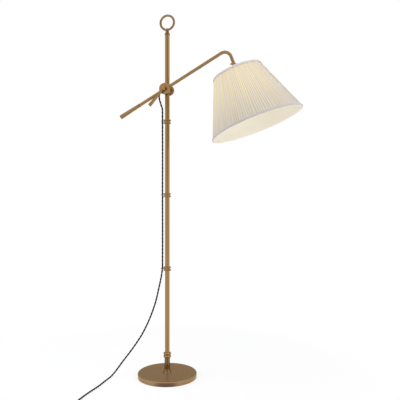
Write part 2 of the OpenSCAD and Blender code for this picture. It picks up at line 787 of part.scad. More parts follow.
module socket_cap() {
    neck_r = cap_neck_d / 2;
    skirt_r = cap_d / 2;
    inner_r = shell_r + seat_fit;
    bore = nipple_r + seat_fit;
    color(brass) at_shade() difference() {
        rotate_extrude() polygon([
            [bore, cap_top], [neck_r - 0.6, cap_top], [neck_r, cap_top - 0.8], [neck_r, neck_bottom],
            [neck_r + 2.4, neck_bottom - 2], [neck_r + 3.4, neck_bottom - 6],
            [neck_r + 5, neck_bottom - 11], [skirt_r - 3, skirt_top + 6], [skirt_r, skirt_top],
            [skirt_r, skirt_bottom], [inner_r, skirt_bottom], [inner_r, skirt_top - 1],
            [inner_r - 4, skirt_top + 5], [neck_r + 2, nipple_bottom + 1], [bore, nipple_bottom + 2]
        ]);
        translate([-neck_r - 1, 0, key_z]) rotate([0, 90, 0])
            cylinder(h = neck_r + 1.2 - key_root, r = key_r + run_fit);
    }
}

module socket_shell() {
    color(brass) at_shade() translate([0, 0, -shell_len])
        tube(shell_r, shell_r - shell_wall, shell_len + shell_top);
}

module socket_core() {
    color(black) at_shade() rotate_extrude() polygon([
        [0, shell_top - 1], [core_r, shell_top - 1], [core_r, -shell_len + 1.5],
        [screw_r + 0.4, -shell_len + 1.5], [screw_r + 0.4, screw_ceiling], [0, screw_ceiling]
    ]);
}

module switch_key() {
    grip_root = cap_neck_d / 2 + face_gap;
    grip = key_reach - grip_root;
    color(dark_brass) at_shade() translate([-key_root, 0, key_z]) rotate([0, -90, 0]) union() {
        cylinder(h = grip_root - key_root + 1, r = key_r);
        translate([0, 0, grip_root - key_root]) difference() {
            cylinder(h = grip, r = key_grip_r);
            for (side = [-1, 1])
                translate([-key_grip_r * 2, side * key_grip_r - key_grip_r + side * 1.4, grip * 0.35])
                    cube([key_grip_r * 4, key_grip_r * 2, grip]);
        }
    }
}

module ring_nut() {
    color(black) at_shade() translate([0, 0, -wire_depth - wire_r - 5.5])
        tube(shell_r + 5, shell_r + seat_fit, 5.5);
}

module bulb_base() {
    tip_r = 5;
    rib = 0.5;
    turns = 4;
    color(steel) at_shade() translate([0, 0, glass_start]) rotate_extrude() polygon(concat(
        [[0, 0], [screw_r - rib, 0], [screw_r - rib, 3]],
        [for (k = [0:turns - 1]) each
            [[screw_r, 4.5 + 4 * k], [screw_r - rib, 6.5 + 4 * k]]],
        [[tip_r, bulb_base_len - 2.5], [tip_r - 1.5, bulb_base_len], [0, bulb_base_len]]
    ));
}

module bulb_glass() {
    ball_r = bulb_d / 2;
    ball_z = glass_end + ball_r;
    neck_r = screw_r - 1.2;
    neck_z = glass_start - 6;
    color(glass) at_shade() difference() {
        bulb_outline(neck_r, glass_start, neck_z, ball_r, ball_z);
        bulb_outline(neck_r - glass_t, glass_start + 1, neck_z, ball_r - glass_t, ball_z);
    }
}

module bulb_outline(neck_r, top, neck_z, ball_r, ball_z) {
    drop = neck_z - ball_z;
    shoulder = asin(clamp01(neck_r / ball_r)) + 14;
    rotate_extrude() polygon(concat(
        [[0, top], [neck_r, top], [neck_r, neck_z]],
        [for (k = [1:7]) let (t = k / 8, r1 = ball_r * sin(shoulder), z1 = ball_r * cos(shoulder))
            [neck_r + (r1 - neck_r) * t ^ 1.35, neck_z - (drop - z1) * t]],
        [for (k = [0:14]) let (a = shoulder + (180 - shoulder) * k / 14)
            [max(0, ball_r * sin(a)), ball_z + ball_r * cos(a)]]
    ));
}

// ---------- shade ----------
// Radius of the shade's outer cone at a depth below the top rim
function cone_r(depth) = shade_top_d / 2 + shade_slope * depth;

// Thin ring cut from the cone, from one depth to another, set in from the outer cone
module cone_band(from, to, inward, t) {
    rotate_extrude($fn = 144) polygon([
        [cone_r(from) - inward, -from], [cone_r(to) - inward, -to],
        [cone_r(to) - inward - t, -to], [cone_r(from) - inward - t, -from]
    ]);
}

module shade_fitter() {
    rim_r = cone_r(wire_depth) - wire_in;
    color(brass) at_shade() translate([0, 0, -wire_depth]) union() {
        torus(rim_r, wire_r);
        tube_ring(uno_r, uno_r + uno_w, 2 * wire_r);
        for (k = [0:spokes - 1]) rotate([0, 90, 360 * k / spokes + 30])
            translate([0, 0, uno_r + uno_w - 0.5])
                cylinder(h = rim_r - uno_r - uno_w + 0.5, r = spoke_r, $fn = 32);
    }
}

module tube_ring(r_in, r_out, h) {
    translate([0, 0, -h / 2]) tube(r_out, r_in, h);
}

module shade_bottom_wire() {
    depth = shade_h - wire_depth;
    color(brass) at_shade() translate([0, 0, -depth]) torus(cone_r(depth) - wire_in, wire_r);
}

module shade_lining() {
    color(cream) at_shade() cone_band(lining_top, shade_h - lining_end, lining_in, lining_t);
}

module pleated_cover() {
    count = 2 * pleats;
    top = layer_gap;
    bottom = shade_h - layer_gap;
    function fold_in(k) = k % 2 == 0 ? crest_in : valley_in;
    function fold_ring(depth, extra) = [for (k = [0:count - 1])
        let (r = cone_r(depth) - fold_in(k) - extra, a = 360 * k / count)
        [r * cos(a), r * sin(a), -depth]];
    points = concat(
        fold_ring(top, 0), fold_ring(bottom, 0), fold_ring(bottom, cloth_t), fold_ring(top, cloth_t)
    );
    color(cream) at_shade() polyhedron(points, [for (ring = [0:3], k = [0:count - 1])
        let (next = (k + 1) % count, a = ring * count, b = ((ring + 1) % 4) * count)
        each [[a + k, a + next, b + next], [a + k, b + next, b + k]]]);
}

module top_trim() {
    color(ribbon) at_shade() cone_band(0, trim_h, 0, trim_t);
}

module bottom_trim() {
    color(ribbon) at_shade() cone_band(shade_h - trim_h, shade_h, 0, trim_t);
}

// ---------- cord ----------
module cord_top() {
    color(black) swept_tube(smooth(CORD_TOP, 2), cord_r, cord_sides, [1, 0, 0]);
}

module cord_drop() {
    color(black) swept_tube(smooth(CORD_DROP, 2), cord_r, cord_sides, [1, 0, 0]);
}

// The coil runs in along the floor, climbs a layer over half a turn and runs out again on top
function coil_radius(t) =
    let (away = abs(t - coil_turns / 2), round = 0.25)
    coil_inner_r + coil_pitch * (away > round ? away : (away ^ 2 / round + round) / 2);
function coil_point(t) =
    let (a = 180 + 360 * t, climb = ease(clamp01((t - coil_turns / 2) * 2 + 0.5)))
    [
        COIL_MIDDLE[0] + coil_radius(t) * cos(a), COIL_MIDDLE[1] + coil_radius(t) * sin(a),
        coil_floor_z + coil_layer * climb
    ];
function coil_path() = concat(
    [[coil_start_x, coil_start_y, coil_floor_z]],
    [for (k = [0:24 * coil_turns]) coil_point(k / 24)],
    [
        [COIL_MIDDLE[0] - coil_radius(coil_turns), plug_y + cord_d * 2, coil_floor_z + coil_layer],
        [COIL_MIDDLE[0] - coil_radius(coil_turns), plug_y, coil_floor_z + coil_layer]
    ]
);
// Least gap between turns, from points that are more than a third of a turn apart
function coil_gap() =
    let (p = [for (k = [0:24 * coil_turns]) coil_point(k / 24)])
    min([for (i = [0:len(p) - 9], j = [i + 8:len(p) - 1]) norm(p[i] - p[j])]) - cord_d;

module cord_coil() {
    color(black) swept_tube(coil_path(), cord_r, 6, [0, 0, 1]);
}

module coil_tie() {
    outer = coil_radius(0.5) + cord_r + layer_gap;
    inner = coil_inner_r - cord_r - layer_gap;
    top = coil_floor_z + coil_layer + cord_r + layer_gap;
    color(black) translate([COIL_MIDDLE[0], COIL_MIDDLE[1] + tie_w / 2, 0]) rotate([90, 0, 0])
        linear_extrude(tie_w) difference() {
            translate([inner - tie_t, 0]) square([outer - inner + 2 * tie_t, top + tie_t]);
            translate([inner, tie_t]) square([outer - inner, top - tie_t]);
        }
}

module plug_body() {
    x = COIL_MIDDLE[0] - coil_radius(coil_turns);
    edge = 3;
    color(black) translate([x, plug_y, plug_z]) rotate([90, 0, 0]) union() {
        cylinder(h = plug_len / 2, r1 = cord_r + 1.5, r2 = plug_t / 2 - 1);
        translate([0, 0, plug_len * 0.4]) linear_extrude(plug_len * 0.6) {
            square([plug_w, plug_t - 2 * edge], center = true);
            square([plug_w - 2 * edge, plug_t], center = true);
            for (sx = [-1, 1], sy = [-1, 1])
                translate([sx * (plug_w / 2 - edge), sy * (plug_t / 2 - edge)]) circle(edge, $fn = 32);
        }
    }
}

module plug_blades() {
    x = COIL_MIDDLE[0] - coil_radius(coil_turns);
    pitch = 12.7;
    color(steel) for (side = [-1, 1])
        translate([x + side * pitch / 2 - 0.75, plug_y - plug_len - 17.5, plug_z - 3.2])
            cube([1.5, 17.5, 6.4]);
}

felt_pad();
base_weight();
base_cover();
base_washer();
base_nut();
lamp_pipe();
base_stem();
stem_collar();
pole_plug();
lower_tube();
second_tube();
third_tube();
top_tube();
tube_couplers();
lower_collar();
middle_collar();
upper_collar();
lower_cord_eye();
middle_cord_eye();
upper_cord_eye();
finial_neck();
finial_ring();
slide_bush();
pole_clamp();
rear_disc();
rear_screw();
pivot_bolt();
friction_washer();
arm_hub();
front_disc();
lever_nut();
lever_handle();
arm_tube();
tail_tube();
tail_ferrule();
tail_handle();
cord_bushing();
inner_lead();
tube_nipple();
socket_cap();
socket_shell();
socket_core();
switch_key();
ring_nut();
shade_fitter();
shade_bottom_wire();
shade_lining();
pleated_cover();
top_trim();
bottom_trim();
bulb_base();
bulb_glass();
cord_top();
cord_drop();
cord_coil();
coil_tie();
plug_body();
plug_blades();
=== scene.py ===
"""Dresses the bridge floor lamp: metal, twisted cord, pleated shade, bulb and studio."""
import json
import random
from itertools import accumulate, product
from math import copysign, cos, hypot, pi, radians, sin, tau

import bmesh
import bpy
from bpy.props import FloatProperty, FloatVectorProperty, IntProperty, PointerProperty
from mathutils import Matrix, Vector


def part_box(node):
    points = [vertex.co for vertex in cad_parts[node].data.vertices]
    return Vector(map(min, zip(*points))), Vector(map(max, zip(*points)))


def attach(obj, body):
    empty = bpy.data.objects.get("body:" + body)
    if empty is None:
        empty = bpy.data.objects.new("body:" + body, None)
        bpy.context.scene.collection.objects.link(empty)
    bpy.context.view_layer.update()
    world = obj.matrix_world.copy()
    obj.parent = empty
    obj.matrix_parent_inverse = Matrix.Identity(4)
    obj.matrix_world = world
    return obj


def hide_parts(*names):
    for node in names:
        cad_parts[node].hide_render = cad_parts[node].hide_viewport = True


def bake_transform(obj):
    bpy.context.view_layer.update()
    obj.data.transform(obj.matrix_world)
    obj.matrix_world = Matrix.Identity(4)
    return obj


bl_info = {
    "name": "Bridge Floor Lamp",
    "version": (1, 0, 0),
    "blender": (4, 5, 0),
    "location": "View3D > Sidebar > Floor Lamp",
    "description": "Finishes, cord, pleated shade and studio of a bridge floor lamp",
    "category": "Object",
}

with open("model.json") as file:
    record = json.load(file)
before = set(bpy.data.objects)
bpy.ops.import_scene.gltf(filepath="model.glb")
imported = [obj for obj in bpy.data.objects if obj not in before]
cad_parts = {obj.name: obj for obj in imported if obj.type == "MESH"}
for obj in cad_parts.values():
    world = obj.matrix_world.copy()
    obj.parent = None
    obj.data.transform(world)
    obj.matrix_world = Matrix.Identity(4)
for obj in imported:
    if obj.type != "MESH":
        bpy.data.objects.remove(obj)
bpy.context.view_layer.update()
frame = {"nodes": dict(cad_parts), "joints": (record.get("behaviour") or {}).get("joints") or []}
MM = 0.001


# ---------- places that come from the frame ----------
def joint(name):
    """The joint of that name, from the packed record."""
    return next(j for j in frame["joints"] if j["name"] == name)


def vertices(node):
    """The corner points of a node's mesh, in metres."""
    return [v.co for v in frame["nodes"][node].data.vertices]


def across(point, origin, direction):
    """Distance of a point from the line through origin along direction."""
    away = point - origin
    return (away - direction * away.dot(direction)).length


PIVOT = Vector(joint("arm_tilt")["pos_m"])
LEVER_PIVOT = Vector(joint("lever_turn")["pos_m"])
KEY_PLACE = Vector(joint("switch_turn")["pos_m"])
KEY_OUT = Vector(joint("switch_turn")["axis"]).normalized()
UP, FRONT = Vector((0, 0, 1)), Vector((0, -1, 0))
SHADE_DOWN = Vector((-KEY_OUT.z, 0, KEY_OUT.x)).normalized()
SHADE_TOP = KEY_PLACE + SHADE_DOWN * min(
    (v - KEY_PLACE).dot(SHADE_DOWN) for v in vertices("top_trim"))


def middle(node):
    """Middle of a node's box."""
    low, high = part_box(node)
    return (low + high) / 2


def towards(node, origin):
    """Unit direction from origin to a node's middle, in the plane that the arm tilts in."""
    away = middle(node) - origin
    return Vector((away.x, 0, away.z)).normalized()


ARM_ALONG = -towards("tail_handle", PIVOT)
LEVER_ALONG = towards("lever_handle", LEVER_PIVOT)


def rim(node, pick):
    """(distance below the shade's top plane, radius) of a cone's rim: min picks the top one."""
    depths = [((v - SHADE_TOP).dot(SHADE_DOWN), across(v, SHADE_TOP, SHADE_DOWN))
              for v in vertices(node)]
    end, _ = pick(depths)
    return end, max(r for d, r in depths if abs(d - end) < 0.3 * MM)


TOP_RIM = rim("top_trim", min)
BOTTOM_RIM = rim("bottom_trim", max)
SHADE_TO_ROOM = (Matrix.Translation(SHADE_TOP)
                 @ (-SHADE_DOWN).to_track_quat("Z", "Y").to_matrix().to_4x4())


# ---------- sizes and colours ----------
class LampCamera(bpy.types.PropertyGroup):
    """Where the photograph was taken from."""
    place: FloatVectorProperty(
        name="Place", description="Where the camera stands", unit="LENGTH",
        subtype="TRANSLATION", default=(0.8507, -2.2487, 0.8377))
    turn: FloatProperty(
        name="Turn", description="Turn about the vertical", unit="ROTATION",
        default=radians(17.35))
    lens: FloatProperty(name="Lens", description="Focal length", unit="CAMERA", default=50.0)
    drop: FloatProperty(
        name="Drop", description="Downward shift as a share of the picture's side",
        default=0.0434, min=0.0, max=0.2)


class LampCord(bpy.types.PropertyGroup):
    """The twisted cord."""
    diameter: FloatProperty(
        name="Diameter", description="Across both strands", unit="LENGTH", default=7.2 * MM)
    lay: FloatProperty(
        name="Lay", description="Length of one full twist", unit="LENGTH", default=32 * MM)
    step: FloatProperty(
        name="Step", description="Distance between the mesh's rings", unit="LENGTH",
        default=2.6 * MM)
    sides: IntProperty(name="Sides", description="Corners of a strand's ring", default=10, min=6)
    colour: FloatVectorProperty(
        name="Colour", description="Braided sleeve", subtype="COLOR",
        default=(0.0035, 0.004, 0.0075), min=0, max=1)


class LampShade(bpy.types.PropertyGroup):
    """The pleated shade."""
    pleats: IntProperty(name="Pleats", description="Pleats round the shade", default=116, min=24)
    fold: FloatProperty(
        name="Fold", description="Depth of a pleat", unit="LENGTH", default=0.65 * MM)
    cloth: FloatProperty(
        name="Cloth", description="Thickness of the cloth", unit="LENGTH", default=0.2 * MM)
    ribbon: FloatProperty(
        name="Ribbon", description="Visible width of the ribbons", unit="LENGTH",
        default=7.5 * MM)
    cloth_colour: FloatVectorProperty(
        name="Cloth colour", description="Pleated cloth", subtype="COLOR",
        default=(0.66, 0.605, 0.575), min=0, max=1)
    glow_colour: FloatVectorProperty(
        name="Glow", description="Lamplight through the cloth", subtype="COLOR",
        default=(1.0, 0.75, 0.17), min=0, max=1)
    glow: FloatProperty(
        name="Glow strength", description="Brightness of the lit cloth", default=0.43, min=0,
        max=2)
    lining_colour: FloatVectorProperty(
        name="Lining", description="Inside of the shade", subtype="COLOR",
        default=(0.72, 0.69, 0.61), min=0, max=1)
    lining_glow: FloatVectorProperty(
        name="Lining glow", description="Lamplight on the lining", subtype="COLOR",
        default=(1.0, 0.87, 0.62), min=0, max=1)
    ribbon_colour: FloatVectorProperty(
        name="Ribbon colour", description="Ribbons on the rims", subtype="COLOR",
        default=(0.535, 0.507, 0.503), min=0, max=1)


class LampMetal(bpy.types.PropertyGroup):
    """The metal's colours."""
    brass: FloatVectorProperty(
        name="Brass", description="Antique brass", subtype="COLOR",
        default=(0.41, 0.247, 0.104), min=0, max=1)
    edge: FloatVectorProperty(
        name="Glancing tint", description="Brass seen at a glancing angle", subtype="COLOR",
        default=(0.95, 0.85, 0.68), min=0, max=1)
    # Brown patina, also used for the painted shade near corners.
    patina_and_shade: FloatVectorProperty(
        name="Patina", description="Brown patina in the brass", subtype="COLOR",
        default=(0.20, 0.13, 0.068), min=0, max=1)
    dark: FloatVectorProperty(
        name="Dark brass", description="Screws, eyes and key", subtype="COLOR",
        default=(0.20, 0.125, 0.06), min=0, max=1)
    steel: FloatVectorProperty(
        name="Steel", description="Plated steel", subtype="COLOR", default=(0.55, 0.54, 0.51),
        min=0, max=1)


GROUPS = {"lamp_camera": LampCamera, "lamp_cord": LampCord, "lamp_shade": LampShade,
          "lamp_metal": LampMetal}


def sizes(group):
    """The scene's values of one property group."""
    return getattr(bpy.context.scene, group)


# ---------- finishes ----------
class Nodes:
    """A node tree, with short names for the nodes that the finishes and the studio use."""

    def __init__(self, tree):
        self.tree = tree
        self.coordinates = self.node("TexCoord").outputs

    def put(self, into, value):
        """Links a socket or a node's first output, or sets a plain value."""
        if isinstance(value, bpy.types.Node):
            value = value.outputs[0]
        if isinstance(value, bpy.types.NodeSocket):
            self.tree.links.new(value, into)
        else:
            into.default_value = value

    def node(self, kind, sockets=(), **settings):
        """A new shader node with its settings, and then with what goes into its sockets."""
        made = self.tree.nodes.new("ShaderNode" + kind)
        for key, value in settings.items():
            setattr(made, key, value)
        for key, value in dict(sockets).items():
            self.put(made.inputs[key], value)
        return made

    def math(self, operation, a, b=0.0, clamp=False):
        return self.node("Math", {0: a, 1: b}, operation=operation, use_clamp=clamp).outputs[0]

    def vector(self, operation, a, b=(0, 0, 0), output="Vector"):
        second = "Scale" if operation == "SCALE" else 1
        return self.node("VectorMath", {0: a, second: b}, operation=operation).outputs[output]

    def combine(self, *parts):
        return self.node("CombineXYZ", enumerate(parts)).outputs[0]

    def split(self, place):
        return self.node("SeparateXYZ", {0: place}).outputs

    def attribute(self, name):
        return self.node("Attribute", attribute_name=name).outputs["Fac"]

    def noise(self, place, scale, detail=3.0, roughness=0.55):
        sockets = {"Vector": place, "Scale": scale, "Detail": detail, "Roughness": roughness}
        return self.node("TexNoise", sockets).outputs["Fac"]

    def ramp(self, value, low, high, out_low=0.0, out_high=1.0, smooth=False):
        return self.node("MapRange", enumerate((value, low, high, out_low, out_high)),
                         interpolation_type="SMOOTHSTEP" if smooth else "LINEAR").outputs[0]

    def mix(self, share, a, b):
        a, b = ((*c, 1) if isinstance(c, tuple) else c for c in (a, b))
        sockets = {"Factor": share, "A": a, "B": b}
        return self.node("Mix", sockets, data_type="RGBA").outputs["Result"]

    def blend(self, share, first, second):
        """One shader or light, and by that share another."""
        return self.node("MixShader", {0: share, 1: first, 2: second})


class Finish(Nodes):
    """One material."""

    def __init__(self, name):
        self.material = bpy.data.materials.new(name)
        self.material.use_nodes = True
        super().__init__(self.material.node_tree)
        self.shader = self.tree.nodes["Principled BSDF"]
        self.place = self.coordinates["Object"]

    def set(self, **values):
        """Sets the shader's own sockets, named as in the interface with _ for a space."""
        for key, value in values.items():
            self.put(self.shader.inputs[key.replace("_", " ")], value)

    def bump(self, height, strength, depth):
        """Raises the surface by up to depth metres times strength."""
        sockets = {"Strength": strength, "Distance": depth, "Height": height}
        before = self.shader.inputs["Normal"]
        if before.is_linked:
            sockets["Normal"] = before.links[0].from_socket
        self.put(before, self.node("Bump", sockets))

    def along_and_out(self, origin, direction):
        """(distance along an axis, distance from it), both in metres."""
        away = self.vector("SUBTRACT", self.place, origin)
        along = self.vector("DOT_PRODUCT", away, direction, "Value")
        off_axis = self.vector("SUBTRACT", away, self.vector("SCALE", direction, along))
        return along, self.vector("LENGTH", off_axis, output="Value")

    def worn_edges(self, radius):
        """(share by which a place is on an edge, the surface's direction with soft edges)."""
        soft = self.node("Bevel", {"Radius": radius}, samples=4).outputs[0]
        true = self.node("NewGeometry").outputs["Normal"]
        flat = self.vector("DOT_PRODUCT", soft, true, "Value")
        return self.math("SUBTRACT", 1.0, flat, clamp=True), soft

    def crevices(self, reach):
        """1 in the open, less where another surface is near: patina in hollows, and painted shade.
        """
        return self.node("AmbientOcclusion", {"Distance": reach}, samples=4).outputs["AO"]


def wear(finish, *nodes):
    """Gives carried-over nodes their finish."""
    for node in nodes:
        for place in frame["nodes"][node].material_slots:
            place.material = finish.material


def toned(tone, share):
    """A colour times one share, or times a share for each channel."""
    shares = share if isinstance(share, tuple) else (share,) * 3
    return tuple(c * k for c, k in zip(tone, shares))


BLACK = (0.0, 0.0, 0.0)
BRUSH_LINES, BRUSH_BANDS = 2600.0, 420.0  # of the brushed brass, to the metre
BRUSH_SWAY = 1.5 * MM  # how far the lines round a turned piece wander
BRUSH_STRETCH = 125  # the lines along a tube are this many times as long as wide
CLOTH_THREADS, LINING_THREADS, RIBBON_RIBS = 1400.0, 1500.0, 1500.0  # to the metre
THREAD_WANDER = 0.8 * MM
BRAID_PICKS, BRAID_ENDS = 620.0, 6.0  # along a metre of a strand, and once round it
BULB_PLACE = middle("bulb_glass")


def brass(name, nodes, origin, direction, turned=True, base=None, patina_and_shade=None, edge=None,
          patina_and_shade_reach=4 * MM, patches=(22.0, 0.10), grain=None, **own):
    """Brushed antique brass: its fine lines run round the axis on turned pieces, else along it.

    reach: how far patina and painted shade spread from a corner; patches: how many to the metre
    and how brown; grain: the axis that reflections are drawn out round; own: the shader's sockets.
    """
    metal, f = sizes("lamp_metal"), Finish(name)
    base, patina_and_shade, edge = base or tuple(metal.brass), patina_and_shade or tuple(metal.patina_and_shade), edge or metal.edge
    origin, direction = tuple(origin), tuple(direction)
    along, out = f.along_and_out(origin, direction)
    if turned:
        lines = f.combine(along, out, f.math("MULTIPLY", f.noise(f.place, 9.0), BRUSH_SWAY))
    else:
        slow = f.vector("SCALE", direction, f.math("MULTIPLY", along, 1 / BRUSH_STRETCH - 1))
        lines = f.vector("ADD", f.vector("SUBTRACT", f.place, origin), slow)
    fine = f.noise(lines, BRUSH_LINES, 2.0)
    broad = f.noise(lines, BRUSH_BANDS, 2.0)
    cloud = f.noise(f.place if turned else lines, patches[0], 2.0, 0.5)
    both = f.math("ADD", f.math("MULTIPLY", fine, 0.5), f.math("MULTIPLY", broad, 0.5))
    patina = f.math("ADD", f.ramp(both, 0.36, 0.64, 0.0, 0.22 if turned else 0.12),
                    f.ramp(cloud, 0.35, 0.65, 0.0, patches[1]))
    tone = f.mix(patina, base, patina_and_shade)
    if turned:
        rubbed, soft_edge = f.worn_edges(0.8 * MM)
        bright = tuple(min(1.0, c) for c in toned(base, 1.2))
        tone = f.mix(f.ramp(rubbed, 0.0, 0.25), tone, bright)
        f.set(Normal=soft_edge)
    # Darker near corners: patina in the hollows, and painted shade where parts meet.
    f.set(Base_Color=f.mix(f.ramp(f.crevices(patina_and_shade_reach), 0.15, 0.85), patina_and_shade, tone), Metallic=1.0,
          Specular_Tint=(*edge, 1),
          Roughness=f.ramp(f.math("ADD", broad, cloud), 0.7, 1.3, 0.20, 0.28))
    f.bump(fine, 0.12 if turned else 0.05, 0.02 * MM)
    if grain:
        f.set(Tangent=f.node("Tangent", axis=grain))
    f.set(**own)
    wear(f, *nodes)


def steel(name, base, roughness):
    """Plated or drawn metal with faint cloudiness."""
    f = Finish(name)
    cloud = f.noise(f.place, 90.0, 4.0)
    f.set(Base_Color=f.mix(f.ramp(cloud, 0.3, 0.7), base, toned(base, 0.82)), Metallic=1.0,
          Roughness=f.ramp(cloud, 0.3, 0.7, roughness - 0.06, roughness + 0.08))
    f.bump(f.noise(f.place, 1500.0, 2.0), 0.15, 0.03 * MM)
    return f


def cast_iron():
    """Sand-cast weight, seen only from below."""
    f = Finish("cast_iron_finish")
    grain = f.noise(f.place, 420.0, 5.0, 0.7)
    f.set(Base_Color=f.mix(grain, (0.035, 0.034, 0.033), (0.075, 0.07, 0.066)), Metallic=0.6,
          Roughness=f.ramp(grain, 0.3, 0.7, 0.55, 0.75))
    f.bump(grain, 0.5, 0.4 * MM)
    return f


def plastic(name, base, roughness=0.42):
    """Moulded plastic with a fine eggshell grain."""
    f = Finish(name)
    grain = f.noise(f.place, 1900.0, 3.0)
    f.set(Base_Color=f.mix(f.noise(f.place, 60.0), base, toned(base, 1.35)),
          Roughness=f.ramp(grain, 0.3, 0.7, roughness - 0.05, roughness + 0.07),
          Specular_IOR_Level=0.5)
    f.bump(grain, 0.2, 0.05 * MM)
    return f


def pile(name, fibres, shadow, tip, roughness, sheen_roughness, strength, depth):
    """Black matted or looped fibres."""
    f = Finish(name)
    fibre = f.noise(f.place, *fibres)
    f.set(Base_Color=f.mix(fibre, shadow, tip), Roughness=roughness, Sheen_Weight=0.3,
          Sheen_Roughness=sheen_roughness)
    f.bump(fibre, strength, depth)
    return f


def weave(f, threads):
    """Height of a plain weave at a place, with that many threads a metre, wandering a little."""
    wander = f.combine(*(f.noise(f.place, scale) for scale in (60.0, 73.0, 67.0)))
    place = f.vector("ADD", f.place, f.vector("SCALE", wander, THREAD_WANDER))
    x, y, z = (f.math("SINE", f.math("MULTIPLY", part, threads * tau))
               for part in f.split(place))
    return f.math("ADD", f.math("ADD", x, y), z)


def glow_share(f, near, far):
    """1 on the shade's wall beside the bulb, falling off with the distance from the bulb."""
    away = f.vector("DISTANCE", f.place, tuple(BULB_PLACE), "Value")
    return f.ramp(away, near, far, 1.0, 0.0, smooth=True)


def pleated_cloth():
    """Cream cloth with painted light from within: one layer lets more by than a fold of three."""
    look, f = sizes("lamp_shade"), Finish("pleated_cloth_finish")
    single, tucked = f.attribute("single_layer"), f.attribute("tucked_in")
    slub = f.noise(f.vector("MULTIPLY", f.place, (1.0, 1.0, 0.12)), 900.0, 3.0)
    base = tuple(look.cloth_colour)
    # Painted light: single layers are tinted yellower and glow, for the bulb's light through them.
    lit_through_tint, shaded = toned(base, (0.79, 0.76, 0.53)), toned(base, (0.56, 0.51, 0.38))
    weft = f.mix(f.ramp(slub, 0.35, 0.75), base, toned(base, 0.93))
    face = f.mix(single, weft, lit_through_tint)
    near = f.ramp(glow_share(f, 0.09, 0.25), 0.0, 1.0, 0.12, 1.0)
    through = f.math("MULTIPLY", f.ramp(single, 0.0, 1.0, 0.08, 1.0), near)
    # Painted shadow: darker where the cloth tucks in under the next pleat.
    f.set(Base_Color=f.mix(f.ramp(tucked, 0.55, 0.95), face, shaded), Roughness=0.85,
          Sheen_Weight=0.1, Sheen_Roughness=0.5, Specular_IOR_Level=0.15,
          Emission_Color=f.mix(through, BLACK, tuple(look.glow_colour)),
          Emission_Strength=look.glow)
    f.bump(weave(f, CLOTH_THREADS), 0.25, 0.06 * MM)
    f.bump(slub, 0.15, 0.1 * MM)
    return f


def lining():
    """Smooth off-white lining on a stiff backing, with the bulb's light on it painted as a glow."""
    look, f = sizes("lamp_shade"), Finish("lining_finish")
    base = tuple(look.lining_colour)
    cloud = f.ramp(f.noise(f.place, 40.0, 4.0), 0.3, 0.7)
    lit = f.ramp(glow_share(f, 0.08, 0.27), 0.0, 1.0, 0.62, 1.0)
    f.set(Base_Color=f.mix(cloud, base, toned(base, 0.97)), Roughness=0.8,
          Specular_IOR_Level=0.2, Emission_Color=f.mix(lit, BLACK, tuple(look.lining_glow)),
          Emission_Strength=0.215)
    f.bump(weave(f, LINING_THREADS), 0.12, 0.04 * MM)
    return f


def ribbon(name, tone):
    """Grosgrain ribbon: ribs across its width, made lighter by tone for the light falling on it."""
    look, f = sizes("lamp_shade"), Finish(name + "_finish")
    along, _, _ = f.split(f.node("UVMap"))
    ribs = f.math("SINE", f.math("MULTIPLY", along, RIBBON_RIBS * tau))
    base = toned(look.ribbon_colour, tone)
    # Painted lamplight: the ribbon's inner side glows with the lining's light.
    f.set(Base_Color=f.mix(f.ramp(ribs, -1.0, 1.0), toned(base, 0.88), base), Roughness=0.7,
          Sheen_Weight=0.2, Sheen_Roughness=0.4, Specular_IOR_Level=0.3,
          Emission_Color=f.mix(f.attribute("inner_side"), BLACK, tuple(look.lining_glow)),
          Emission_Strength=0.42)
    f.bump(ribs, 0.4, 0.12 * MM)
    return f


def braid():
    """Dark cloth sleeve, braided over each strand of the cord."""
    f, base = Finish("braid_finish"), tuple(sizes("lamp_cord").colour)
    along, round_it, _ = f.split(f.node("UVMap"))
    picks, ends = f.math("MULTIPLY", along, BRAID_PICKS), f.math("MULTIPLY", round_it, BRAID_ENDS)
    left, right = (f.math("SINE", f.math("MULTIPLY", f.math(way, picks, ends), tau))
                   for way in ("ADD", "SUBTRACT"))
    cross = f.math("MULTIPLY", left, right)
    f.set(Base_Color=f.mix(f.ramp(cross, -0.6, 0.9), base, toned(base, 2.2)), Roughness=0.75,
          Specular_IOR_Level=0.1)
    f.bump(cross, 0.5, 0.15 * MM)
    return f


def lit_glass():
    """Frosted bulb, switched on."""
    f = Finish("frosted_glass_finish")
    frost = f.noise(f.place, 500.0, 3.0)
    f.set(Base_Color=f.mix(frost, (0.82, 0.80, 0.75), (0.9, 0.88, 0.83)),
          Roughness=f.ramp(frost, 0.3, 0.7, 0.32, 0.45), Coat_Weight=0.3,
          Emission_Color=f.mix(frost, (1.0, 0.78, 0.47), (1.0, 0.82, 0.53)), Emission_Strength=2.2)
    return f


# ---------- meshes ----------
def polar(radius, angle):
    """(x, y) at that distance and angle from the middle."""
    return radius * cos(angle), radius * sin(angle)


def add(name, data):
    """A new object in the scene."""
    made = bpy.data.objects.new(name, data)
    bpy.context.scene.collection.objects.link(made)
    return made


def piece(name, points, faces, finish, slot):
    """A new mesh object in the room's frame, with its finish. Its slot is not used."""
    mesh = bpy.data.meshes.new(name)
    mesh.from_pydata([tuple(p) for p in points], [], faces)
    mesh.update()
    mesh.polygons.foreach_set("use_smooth", [True] * len(faces))
    mesh.materials.append(finish.material)
    made = add(name, mesh)
    return made


def grid_faces(rows, columns, closed, start=0, turn=False):
    """Faces between the rows of a grid of points; closed joins the last column to the first."""
    faces = []
    for i in range(rows - 1):
        for k in range(columns if closed else columns - 1):
            nxt = (k + 1) % columns
            a, b = start + i * columns + k, start + i * columns + nxt
            c, d = b + columns, a + columns
            faces.append((a, d, c, b) if turn else (a, b, c, d))
    return faces


